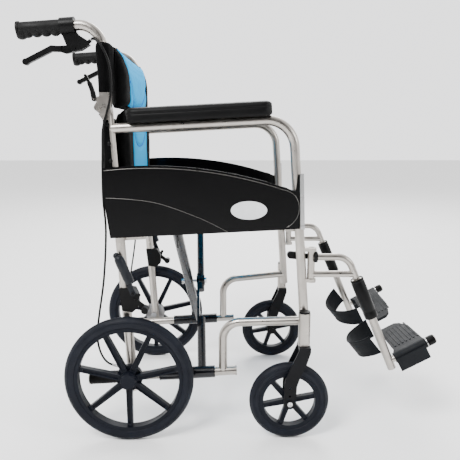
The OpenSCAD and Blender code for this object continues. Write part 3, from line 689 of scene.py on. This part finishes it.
def laid_panel(name, surface, place, half_width, v_range, slot, lift=0.0011, nu=70, nv=80):
    """A cover panel on a pad's face: it follows the pad, and dives into it along its sewn edge."""
    top, under = [], []
    for j in range(nv + 1):
        b = 2 * j / nv - 1
        v = v_range[0] + (v_range[1] - v_range[0]) * j / nv
        for i in range(nu + 1):
            a = math.sin((2 * i / nu - 1) * math.pi / 2)
            p = surface.at(place(a * half_width(v), v, 0))
            edge = max(abs(a) ** 40, abs(b) ** 60)
            top.append(p + surface.direction * (lift * (1 - 2.2 * edge)))
            under.append(p - surface.direction * 0.003)
    return new_piece(name, top + under, two_sided(nu, nv), slot, angle=0)


def stitches(points, out, length=0.0034, gap=0.0026, radius=0.0005):
    """Short raised threads along a path, each a little six-sided bead."""
    parts, run = [], 0.0
    for a, b in zip(points, points[1:]):
        run += (b - a).length
        if run < length + gap:
            continue
        run = 0.0
        along = (b - a).normalized()
        mid = (a + b) / 2 + out * radius * 0.6
        ends = [mid + along * (length * t) for t in (-0.5, -0.35, 0.35, 0.5)]
        parts.append(tube(ends, [radius * 0.5, radius, radius, radius * 0.5], 6))
    return parts


# ---- cables ----

def cable_route(bow):
    """The route that part.scad gives a brake cable, in millimetres, as on the right-hand side."""
    return [(-61.2, -224.6, 923.9), (-57.5, -232.5, 924.6), (-47.5, -240, 919),
            (-36 + bow / 2, -243, 905), (-25 + bow, -243, 878), (-20 + bow, -243, 846),
            (-21 + bow, -243, 812), (-26 + bow / 2, -243, 786), (-34, -243, 760), (-42, -242, 730),
            (-46, -234, 690), (-49, -229, 640), (-50, -228, 574), (-47, -227, 500), (-56, -227, 388),
            (-72, -228, 290), (-76, -230, 242), (-68, -232, 206), (-52, -234, 184), (-28, -235, 176)]


# the radius of the sheath, in metres
CABLE_R = 0.0025
# how much further forward than the right one the left cable bows, in millimetres
LEFT_BOW = 8
# the radii of a ferrule's two ends, in metres: at the brake clamp and at the drum brake
UPPER_FERRULE = (0.0034, 0.0031)
LOWER_FERRULE = (0.0031, 0.0036)


def make_cable(side, sign):
    bow = LEFT_BOW if side == "left" else 0
    points = [chair(*p) for p in mirror_y(rounded(cable_route(bow), 5), sign)]
    cable = new_piece(side + "_cable_sheath", *tube(points, CABLE_R, 12), "cable_black", angle=0)
    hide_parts(side + "_brake_cable")
    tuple(points[0])
    path_length(points)
    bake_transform(cable)
    # ferrules where the sheath meets its stops
    ferrules = (([points[0], points[3]], UPPER_FERRULE, "back_"),
                ([points[-4], points[-1]], LOWER_FERRULE, "frame_"))
    for k, (ends, radii, body) in enumerate(ferrules):
        new_piece(f"{side}_ferrule_{k}", *tube(ends, radii, 12), "bolt_steel", body + side)


# ---- the folding back ----

def on_back(u, v, w):
    """A point of the back: u to the left, v up and w forward, in millimetres."""
    return chair(w, u, v)


def follow_back(obj, body):
    """Soft pieces of the back ride on the right-hand side, each with its own copy of its mesh."""
    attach(obj, body)
    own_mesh(obj)


def rim_path(obj, place, u_range, v_range, w, count=170):
    """Points round a pad's outer edge."""
    surface = Surface(obj, (1, 0, 0))
    uc, hu = middle_and_half(u_range)
    vc, hv = middle_and_half(v_range)
    core_u, core_v = max(hu - hv, 0) + hv * 0.75, max(hv - hu, 0) + hv * 0.6
    out = []
    for a in turns(count):
        c, s = math.cos(a), math.sin(a)
        c = math.copysign(abs(c) ** 0.5, c)
        s = math.copysign(abs(s) ** 0.5, s)
        u, v = uc + hu * c, vc + hv * s
        core = (uc + max(-core_u, min(core_u, u - uc)), vc + max(-core_v, min(core_v, v - vc)))
        inner = place(*core, w)
        aim = (place(u, v, w) - inner).normalized()
        hit = surface.tree.ray_cast(inner + aim * 0.2, -aim)
        out.append(hit[0] if hit[0] is not None else place(u, v, w))
    return out


def closed_tube(points, radius, sides=8):
    """A tube that runs once round a loop and a little past its start."""
    return tube(list(points) + [points[0], points[1]], radius, sides)


def cushion(name, node, body, u_range, v_range, front, back, width, panel_v, seam):
    """A black pad with a blue mesh panel let into its face, piping, a sewn line in darker blue that paints
    the shade of its crease, and stitches.
    """
    shape = pad_shape(on_back, u_range, v_range, front, back, power=12, corner=0.01)
    pad = new_piece(name, *shape, "seat_fabric", angle=0)
    inflate(pad, cap=0.004)
    out = Vector((1, 0, 0))
    borders = [[on_back(s * width(v), v, 0) for v in np.linspace(*panel_v, 60)] for s in (-1, 1)]
    seam_half = width(seam(0))
    seam_line = [on_back(u, seam(u), 0) for u in np.linspace(-seam_half, seam_half, 60)]
    dent(pad, borders, out, 0.0032, 0.005)
    dent(pad, [seam_line], out, 0.0034, 0.006)
    ruffle(pad, 0.0009, 0.045)
    face = Surface(pad, out)
    panel = laid_panel(name + "_mesh", face, on_back, width, panel_v, "back_mesh")
    edge_lines = [[face.at(p) + out * 0.0006 for p in line] for line in borders]
    trims = [tube(line, 0.0014, 8) for line in edge_lines]
    trims.append(closed_tube(rim_path(pad, on_back, u_range, v_range, -18), 0.0019))
    for s, line in zip((-1, 1), edge_lines):
        shifted = [face.at(p + Vector((0, s * 0.0045, 0))) for p in rounded(line, 4)]
        trims += stitches(shifted, out)
    piping = new_piece(name + "_piping", *merged(trims), "seat_fabric", angle=0)
    # the seam is real, and its cord's darker blue is painted shade in the seam's crease
    sewn = [face.at(p) + out * 0.0014 for p in rounded(seam_line, 3)]
    seam_shade = new_piece(name + "_seam", *tube(sewn, 0.0013, 8), "blue_binding", angle=0)
    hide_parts(node)
    for piece in (pad, panel, piping, seam_shade):
        follow_back(piece, body)


def step(t):
    """A smooth step from 0 to 1."""
    t = max(0.0, min(1.0, t))
    return t * t * (3 - 2 * t)


def make_upper_back():
    """The upper cushion, whose lower edge laps over the lower one."""
    def front(u, v):
        x = 1 - 2 * (1 - (u / 203) ** 2) - 12 * step((786 - v) / 4)
        x -= 16 * (max(0.0, v - 850) / 66) ** 1.5
        return x - 4 * (max(0.0, 800 - v) / 17) ** 2

    def width(v):
        t = (v - 785) / 130
        return 122 + 20 * t + 50 * max(0.0, (t - 0.35) / 0.65) ** 2.2

    def seam(u):
        return 789 + 60 * abs(u / 124) ** 2.6

    cushion("back_upper_cushion", "back_upper", "back_right", (-203, 203), (776.5, 918), front,
            lambda u, v: -33, width, (787, 913), seam)


def make_lower_back():
    """The lower cushion, whose top edge is stepped back under the upper one."""
    def front(u, v):
        return 3 - 3 * (1 - (u / 200) ** 2) - 2 * (max(0.0, v - 760) / 16) ** 2

    def back(u, v):
        return -23.5 + 12.5 * step((v - 766) / 4)

    def width(v):
        return 115 + 6 * ((v - 690) / 90) ** 2

    def seam(u):
        return 691 + 62 * abs(u / 116) ** 2.6

    cushion("back_lower_cushion", "back_lower", "frame_right", (-200, 200), (531, 784), front,
            back, width, (535, 778), seam)


# the web's and the pocket's extent across and up, and half the pocket's hem, in millimetres
WEB_BOX = ((-211, 211), (541, 750))
POCKET_BOX = ((-196, 196), (545, 762))
POCKET_HEM = 188


def make_back_web():
    """The sling behind the lower cushion, and the pocket sewn to it."""
    def bulge(u, v):
        """The pocket's rear face, which is fullest in the middle."""
        return -56 - 4.5 * math.exp(-((v - 655) / 55) ** 2) * (1 - (u / 200) ** 2) ** 0.3

    shape = pad_shape(on_back, *WEB_BOX, lambda u, v: -24, lambda u, v: -36, power=14, corner=0.012)
    web = new_piece("back_web", *shape, "seat_fabric", angle=0)
    ruffle(web, 0.0008, 0.05)
    hem = closed_tube(rim_path(web, on_back, *WEB_BOX, -30), 0.0022)
    shape = pad_shape(on_back, *POCKET_BOX, lambda u, v: -35, bulge, power=16, corner=0.01)
    pocket = new_piece("back_pocket", *shape, "seat_fabric", angle=0)
    inflate(pocket, cap=0.003)
    ruffle(pocket, 0.0016, 0.06)
    back_face = Surface(pocket, (-1, 0, 0))
    sewn, edge = [[on_back(u, v, 0) for u in np.linspace(-POCKET_HEM, POCKET_HEM, 60)]
                  for v in (745, 752)]
    parts = [hem, tube([back_face.at(p) for p in edge], 0.0022, 8)]
    parts += stitches([back_face.at(p) for p in rounded(sewn, 4)], Vector((-1, 0, 0)))
    hems = new_piece("back_hems", *merged(parts), "seat_fabric", angle=0)
    for piece in (web, pocket, hems):
        follow_back(piece, "frame_right")


# the wrap's inner and outer radius round the upright, and the heights of its top, foot and screws
WRAP_INNER = 11.15
WRAP_R = 12.4
WRAP_TOP, WRAP_FOOT = 757, 546
SCREW_HEIGHTS = (742, 700, 662)
SCREW_Y = 236.4


def make_upright_wrap(side, sign):
    """The edge of the back sling, folded round the rear of the upright and screwed to it."""
    rings = []
    for z in np.linspace(WRAP_TOP, WRAP_FOOT, 30):
        far = 12.6 + 11 * min(1.0, (WRAP_TOP - z) / 190) ** 0.8 + 0.5 * math.sin(z / 9)
        hem = 0.8 if z > WRAP_TOP - 5 or z < WRAP_FOOT + 5 else 0.0
        ring = []
        for inner in (False, True):
            angles = np.radians(np.linspace(86, 262, 26))
            for a in (reversed(angles) if inner else angles):
                r = WRAP_R + hem + (far - WRAP_R) * max(0.0, -math.cos(a)) ** 1.5
                r = WRAP_INNER if inner else r + 0.25 * math.sin(4 * a + z / 14)
                ring.append(chair(upright_x(z) + r * math.cos(a), sign * (FRAME_Y + r * math.sin(a)), z))
        rings.append(ring)
    new_piece(side + "_upright_wrap", *loft(rings), "seat_fabric", "frame_" + side, angle=50)
    head = [(4.6, 0), (4.2, 1.6), (2.6, 2.6), (0.4, 3)]
    heads = [lathe(head, chair(upright_x(z) - 2, sign * SCREW_Y, z), (0, sign, 0), 20)
             for z in SCREW_HEIGHTS]
    new_piece(side + "_sling_screws", *merged(heads), "black_plastic", "frame_" + side, angle=40)


# where the cane's middle lies along X, in millimetres
CANE_X = -38.5


def make_cane_sleeve(side, sign):
    """A fabric sleeve round the cane, drawn out towards the cushion it is sewn to."""
    # towards the cushion's edge, from straight ahead
    aim = math.atan2(24, 14)
    heights = [811, 812, 815, 822, 832, 845, 860, 875, 888, 898, 906, 912, 916, 918]
    radii = [11.6, 12.9, 13.2, 12.9, 13.0, 13.5, 14.3, 15.1, 15.8, 16.3, 16.4, 15.6, 13.6, 11.4]
    rings = []
    for z, r in zip(heights, radii):
        ring = []
        for a in turns(36):
            pull = max(0.0, math.cos(a - aim)) ** 5 * 13 * min(1, (z - 806) / 14) * min(1, (921 - z) / 8)
            crease = 0.35 * math.sin(5 * a + z / 9) + 0.25 * math.sin(z / 5.5)
            rr = r + pull + crease
            ring.append(chair(CANE_X + rr * math.cos(a), sign * (FRAME_Y - rr * math.sin(a)), z))
        rings.append(ring)
    sleeve = new_piece(side + "_cane_sleeve", *loft(rings), "seat_fabric", "back_" + side, angle=0)
    subdivide(sleeve)


# ---- arm pads ----

# all in millimetres: where the pad starts on the arm tube, its length, and the stations along it
ARM_SLOPE = math.radians(3.1)
ARM_BEND_X, ARM_BEND_H = -31, 733
TUBE_TO_PAD = 8
PAD_START = 9
PAD_LENGTH = 324
PAD_STATIONS = (0, 0.4, 1.4, 3.2, 6, 10, 15, 22, 34, 50, 80, 120, 162, 204, 244, 272, 290, 302, 309,
                314, 318, 320.8, 322.6, 323.6, 324)
# the pad's section, across and up: a soft top over a stiff base, with the seam between them
PAD_OUTLINE = [
    (-19.5, 0.4), (-7.5, 1.2), (0, 3.2), (7.5, 1.2), (19.5, 0.4), (22.6, 1.2), (24.0, 4.0), (24.5, 9.0),
    (24.4, 14.0), (23.9, 17.8), (23.2, 19.4), (21.6, 20.1), (23.0, 21.0), (23.6, 22.6), (23.5, 25.0),
    (22.0, 29.0), (18.6, 32.0), (13.0, 34.0), (6.5, 34.9), (0, 35.1), (-6.5, 34.9), (-13.0, 34.0),
    (-18.6, 32.0), (-22.0, 29.0), (-23.5, 25.0), (-23.6, 22.6), (-23.0, 21.0), (-21.6, 20.1),
    (-23.2, 19.4), (-23.9, 17.8), (-24.4, 14.0), (-24.5, 9.0), (-24.0, 4.0), (-22.6, 1.2)]


def make_arm_pad(side, sign):
    low = ARM_BEND_H + (PAD_START - ARM_BEND_X) * math.tan(ARM_SLOPE) + TUBE_TO_PAD
    rings = []
    for t in PAD_STATIONS:
        end = min(t, PAD_LENGTH - t)
        # both ends are rounded in plan and in height
        wide = 1 - 0.62 * max(0.0, 1 - end / 20) ** 2.4
        tall = 1 - 0.34 * max(0.0, 1 - end / 13) ** 2.6
        rings.append([chair(PAD_START + t * math.cos(ARM_SLOPE) - z * math.sin(ARM_SLOPE) * tall,
                            sign * FRAME_Y + y * wide,
                            low + t * math.sin(ARM_SLOPE) + 17 * (1 - tall) + z * tall)
                      for y, z in PAD_OUTLINE])
    pad = new_piece(side + "_arm_cushion", *loft(rings), "pad_foam", angle=0)
    subdivide(pad)
    ruffle(pad, 0.0003, 0.05)
    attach(pad, "frame_" + side)
    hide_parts(side + "_arm_pad")


# ---- seat ----

# in the tilted frame, in millimetres: the seat's underside over its rails, and the blue panel's box,
# along the chair and outwards from the middle
SEAT_TOP = RAIL_H + RAIL_R + 0.3
PANEL_U, PANEL_V = (78, 398), (7, 150)


def make_seat_half(side, sign, body):
    """Half of the seat: it hangs from its own rail, and its inner edge meets the other half."""
    def place(u, v, w):
        return tilted(u, sign * v, w)

    def sag(v):
        """How far the sling hangs down between the rail and the middle."""
        return 2.5 * (1 - v / 200) ** 2

    shape = pad_shape(place, (44, 432), (1.5, 197), lambda u, v: SEAT_TOP + 9.0 - sag(v),
                      lambda u, v: SEAT_TOP + 0.8 - sag(v), power=10, corner=0.015)
    pad = new_piece(side + "_seat_cushion", *shape, "seat_fabric", angle=0)
    inflate(pad, cap=0.0035)
    up = (tilted(0, 0, 1) - tilted(0, 0, 0)).normalized()
    (u0, u1), (v0, v1) = PANEL_U, PANEL_V
    corners = [np.array(p) for p in ((u0, v0), (u0, v1), (u1, v1), (u1, v0))]
    lines = [[place(*(a * (1 - t) + b * t), 0) for t in np.linspace(0, 1, 50)]
             for a, b in zip(corners, corners[1:])]
    dent(pad, lines, up, 0.003, 0.005)
    ruffle(pad, 0.0010, 0.05)
    face = Surface(pad, up)
    mid, half = middle_and_half(PANEL_U)
    panel = laid_panel(side + "_seat_mesh", face, lambda u, v, w: place(mid + u, v, w),
                       lambda v: half, PANEL_V, "back_mesh")
    trims = []
    for line in lines:
        trims.append(tube([face.at(p) + up * 0.0006 for p in line], 0.0014, 8))
        trims += stitches([face.at(p + (p - place(mid, 75, 0)).normalized() * 0.0045)
                           for p in rounded(line, 4)], up)
    # the hem that runs round the rail, a little slack between its two ends
    rail = [tilted(u, sign * RAIL_Y, RAIL_H) for u in np.linspace(78, 372, 40)]
    slack = [0.0124 + 0.0002 * math.sin(k * 1.7) for k in range(len(rail) - 2)]
    trims.append(tube(rail, [0.0112, *slack, 0.0112], 28))
    piping = new_piece(side + "_seat_hem", *merged(trims), "seat_fabric", angle=0)
    for piece in (pad, panel, piping):
        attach(piece, body)
        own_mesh(piece)
    return pad


def make_seat():
    left = make_seat_half("left", 1, "brace_front")
    make_seat_half("right", -1, "brace_rear")
    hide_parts("seat_sling")


# ---- footrests ----

# how far a footplate's front is raised
PLATE_TILT = math.radians(28)
# the hanger's slanting tube: its angle with the ground, and its upper corner along X and Z
HANGER_ANGLE = math.radians(67)
HANGER_CORNER = (513.5, 439)
# the footplate's pivot
FOOT_H = 181.5
FOOT_X = HANGER_CORNER[0] + (HANGER_CORNER[1] - FOOT_H) / math.tan(HANGER_ANGLE)
# the heel loop's middle line, in the frame of its footplate
LOOP_ROUTE = [(-12, 12, 50), (-32, 24, 46), (-54, 52, 40), (-60, 90, 34), (-48, 128, 30),
              (-20, 158, 24), (8, 172, 22)]


def at_foot(x, y, z, sign):
    """A point in the frame of one footplate, whose y runs inwards from its pivot."""
    return chair(FOOT_X + x * math.cos(PLATE_TILT) - z * math.sin(PLATE_TILT),
                 sign * (FRAME_Y - y),
                 FOOT_H + x * math.sin(PLATE_TILT) + z * math.cos(PLATE_TILT))


def along_slant(t, sign):
    """A point on the middle of the hanger's slanting tube, t millimetres below its corner."""
    return chair(HANGER_CORNER[0] + t * math.cos(HANGER_ANGLE), sign * FRAME_Y,
                 HANGER_CORNER[1] - t * math.sin(HANGER_ANGLE))


def make_heel_loop(side, sign):
    """Webbing behind the heel, folded over and sewn along both edges."""
    points = [at_foot(*p, sign) for p in rounded(LOOP_ROUTE, 8)]
    up = at_foot(-0.2, 0, 1, sign) - at_foot(0, 0, 0, sign)
    # across the webbing, with a thicker hem along each edge
    half = [(-29, -1.0), (-28, -1.7), (-25.4, -1.7), (-24.6, -1.1), (-12, -1.2), (-3, -1.3), (9, -1.2),
            (18.6, -1.1), (19.4, -1.7), (22, -1.7), (23, -1.0)]
    outline = half + [(a, -b) for a, b in reversed(half)]
    rings = []
    for k, p in enumerate(points):
        ahead = heading(points, k)
        across = (up - ahead * up.dot(ahead)).normalized()
        out = ahead.cross(across)
        droop = 1 - 0.06 * math.sin(math.pi * k / (len(points) - 1))
        rings.append([p + across * (a * droop / 1000) + out * (b / 1000) for a, b in outline])
    loop = new_piece(side + "_heel_webbing", *loft(rings), "strap_fabric", angle=0)
    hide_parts(side + "_heel_loop")
    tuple(points[6])
    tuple(points[-8])
    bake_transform(loop)


def ring_stack(centre, axis, profile, steps=40):
    """A turned ring: its outer profile of (distance along the axis, radius), and a bore."""
    bore = min(r for _, r in profile) - 1.6
    outline = [(r, t) for t, r in profile] + [(bore, profile[-1][0]), (bore, profile[0][0])]
    return lathe(outline, centre, axis, steps)


def make_axle_bolt(side, sign):
    """The head of the caster's axle bolt, on its washer."""
    y = max(abs(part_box(side + "_caster_fork")[k].y) for k in (0, 1)) * 1000
    outline = [(6.0, -1), (6.0, 0.6), (4.6, 0.9), (4.4, 3.2), (3.6, 3.9), (2.0, 3.9), (1.6, 2.8),
               (0.6, 2.6), (0.6, -1)]
    centre = chair(CASTER_X, sign * y, CASTER_R)
    new_piece(side + "_caster_bolt", *lathe(outline, centre, (0, sign, 0), 30),
              "bolt_steel", "caster_fork_" + side, angle=30)


def make_footrest_trim(side, sign):
    """The slide sleeve on the slanting tube, the rubber bumper, and the plate pivot's cap and ring."""
    body = "hanger_" + side
    slant = (along_slant(1, sign) - along_slant(0, sign)).normalized()
    sleeve = [(0, 14.7), (0.8, 15.3), (5, 15.8), (6, 15.1), (8, 15.1), (9, 15.8), (48, 15.7), (82, 15.6),
              (83, 15.0), (85, 15.0), (86, 15.6), (97, 15.5), (101.4, 15.2), (102.4, 14.7)]
    new_piece(side + "_slide_sleeve", *ring_stack(along_slant(57, sign), slant, sleeve),
              "black_plastic", body)
    bumper = [(0, 9.4), (0.7, 12.8), (5, 13.2), (9, 12.8), (10, 9.4)]
    place = chair(433, sign * FRAME_Y, HANGER_CORNER[1])
    new_piece(side + "_bumper", *ring_stack(place, (1, 0, 0), bumper), "grip_rubber", body)
    pivot = at_foot(0, 0, 0, sign)
    roll = (at_foot(1, 0, 0, sign) - pivot).normalized()
    cap = [(10.6, 101.4), (11.6, 102.2), (11.6, 116), (10.6, 120), (8.2, 122), (4.0, 122.8), (0.8, 123),
           (0.8, 100)]
    new_piece(side + "_pivot_cap", *lathe(cap, pivot, roll, 40), "black_plastic", body)
    ring = [(98.4, 11.2), (98.9, 12.4), (100.9, 12.4), (101.4, 11.2)]
    new_piece(side + "_pivot_ring", *ring_stack(pivot, roll, ring), "bolt_steel", body)


# the ribs of the sleeve on the tipping lever, and their pitch in millimetres
TIP_RIBS = 9
RIB_PITCH = 7


def make_tip_sleeve(side, sign):
    """Ribbed rubber on the tipping lever."""
    along = (tilted(1, 0, 0) - tilted(0, 0, 0)).normalized()
    outline = [(6, -1), (11, -0.8), (14.2, 0.6)]
    for k in range(TIP_RIBS):
        outline += [(r, t + RIB_PITCH * k) for r, t in ((15.2, 3), (15.2, 6.4), (14.8, 7), (14.8, 8.8))]
    outline += [(15.2, 68), (15.0, 73), (14.0, 74.2), (11.4, 74.4), (10.5, 74.4), (4.5, 20)]
    new_piece(side + "_tip_sleeve", *lathe(outline, tilted(-106, sign * RAIL_Y, 0), along, 36),
              "grip_rubber", "frame_" + side, angle=30)


# ---- wheels ----

def tyre_profile(outer, inner, half=13):
    """Half a tyre's section, with shoulder lines and grooves in its tread, and its mirror image."""
    side = [(inner, half - 3.2), (inner + 2, half - 1.4), (inner + 5, half - 0.6), (outer - 13, half),
            (outer - 11.6, half), (outer - 11.2, half - 0.7), (outer - 10.2, half - 0.7),
            (outer - 9.8, half - 0.1), (outer - 7.4, half - 1.1), (outer - 4.6, half - 3.2),
            (outer - 2.4, half - 6.0)]
    tread = [(outer - 1.5, 5.4), (outer - 2.6, 4.9), (outer - 2.6, 4.1), (outer - 0.7, 3.6),
             (outer - 0.1, 1.6), (outer, 0.9), (outer - 1.4, 0.5)]
    rows = side + tread
    return rows + [(r, -t) for r, t in reversed(rows)]


def make_tyres(side, sign):
    axis = (0, sign, 0)
    centre = chair(0, sign * REAR_Y, REAR_R)
    rear = new_piece(side + "_rear_tread", *lathe(tyre_profile(REAR_R, 127), centre, axis, 128),
                     "tyre_rubber", "wheel_" + side, angle=50)
    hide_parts(side + "_rear_tyre")
    centre = chair(CASTER_X, sign * CASTER_Y, CASTER_R)
    front = new_piece(side + "_caster_tread", *lathe(tyre_profile(CASTER_R, 72), centre, axis, 96),
                      "tyre_rubber", "caster_wheel_" + side, angle=50)
    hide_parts(side + "_caster_tyre")


# ---- small fittings ----

# the guard's outer face, and the arcs of its top edge and of its front corner (middle and radius)
GUARD_Y = 246.2
TOP_ARC = (60, -298, 944.5)
CORNER_ARC = (347, 556, 43.6)
BADGE_PLACE = (281, 247.9, 552)
BADGE_HALF = (41, 21)
# the radius of the guard's light lines, in metres: beads along its crease and top edge whose light metal
# colour is a painted highlight
GUARD_HIGHLIGHT_R = 0.0009


def make_guard_trim(side, sign):
    """Beads of light metal along the guard's crease and top edge, a painted highlight, and a blank oval
    badge.
    """
    y = sign * GUARD_Y
    crease = rounded([(-40, y, 580), (0, y, 578), (56, y, 572), (105, y, 559), (177, y, 531),
                      (226, y, 506), (233, y, 502)], 8)
    edge = []
    x, z, r = TOP_ARC
    for a in np.linspace(math.atan2(947, -104), math.atan2(900, 300), 50):
        edge.append((x + r * math.cos(a), y, z + r * math.sin(a)))
    x, z, corner = CORNER_ARC
    for a in np.radians(np.linspace(72, -66, 36)):
        r = corner + 4 * min(1.0, (1.3 - a) / 0.7)
        edge.append((x + r * math.cos(a), y, z + r * math.sin(a)))
    # the beads' light metal paints the highlight that the guard's crease and top edge catch
    parts = [tube([chair(*p) for p in line], GUARD_HIGHLIGHT_R, 8) for line in (crease, edge)]
    new_piece(side + "_guard_lines", *merged(parts), "guard_line", "frame_" + side, angle=0)
    # the badge: how far each ring stands out, and how wide it is
    rings = []
    x, y, z = BADGE_PLACE
    for t, k in ((0, 1.0), (1.2, 1.0), (1.7, 0.985), (1.9, 0.96), (1.7, 0.94), (1.6, 0.6), (1.6, 0.2)):
        rings.append([chair(x + BADGE_HALF[0] * k * math.cos(a), sign * (y + t),
                            z + BADGE_HALF[1] * k * math.sin(a)) for a in turns(64)])
    new_piece(side + "_badge", *loft(rings), "badge_white", "frame_" + side, angle=30)


# how far out the parking lever's middle stands, in millimetres
LEVER_Y = 246.6


def make_lever_grip(side, sign):
    """The thick rubber sleeve on the parking-brake lever."""
    low, high = chair(8, sign * LEVER_Y, 384), chair(-19, sign * LEVER_Y, 448)
    outline = [(9.0, 0), (10.4, 1), (10.9, 6), (11.4, 18), (10.9, 20), (11.4, 22), (10.9, 26), (11.5, 28),
               (11.0, 32), (11.6, 34), (11.6, 50), (11.0, 60), (9.4, 65), (5.8, 68.6), (1.6, 69.6),
               (1.2, 69.6), (1.2, 0.2)]
    new_piece(side + "_lever_sleeve", *lathe(outline, low, high - low, 32), "lever_grey",
              "parking_lever_" + side, angle=35)


make_camera()
MATS = make_materials()
for SIDE, SIGN in SIDES:
    make_cable(SIDE, SIGN)
make_stage()
dress_cad()
make_upper_back()
make_lower_back()
make_back_web()
make_seat()
for SIDE, SIGN in SIDES:
    make_cane_sleeve(SIDE, SIGN)
    make_upright_wrap(SIDE, SIGN)
    make_arm_pad(SIDE, SIGN)
    make_heel_loop(SIDE, SIGN)
    make_footrest_trim(SIDE, SIGN)
    make_axle_bolt(SIDE, SIGN)
    make_tip_sleeve(SIDE, SIGN)
    make_tyres(SIDE, SIGN)
    make_guard_trim(SIDE, SIGN)
    make_lever_grip(SIDE, SIGN)
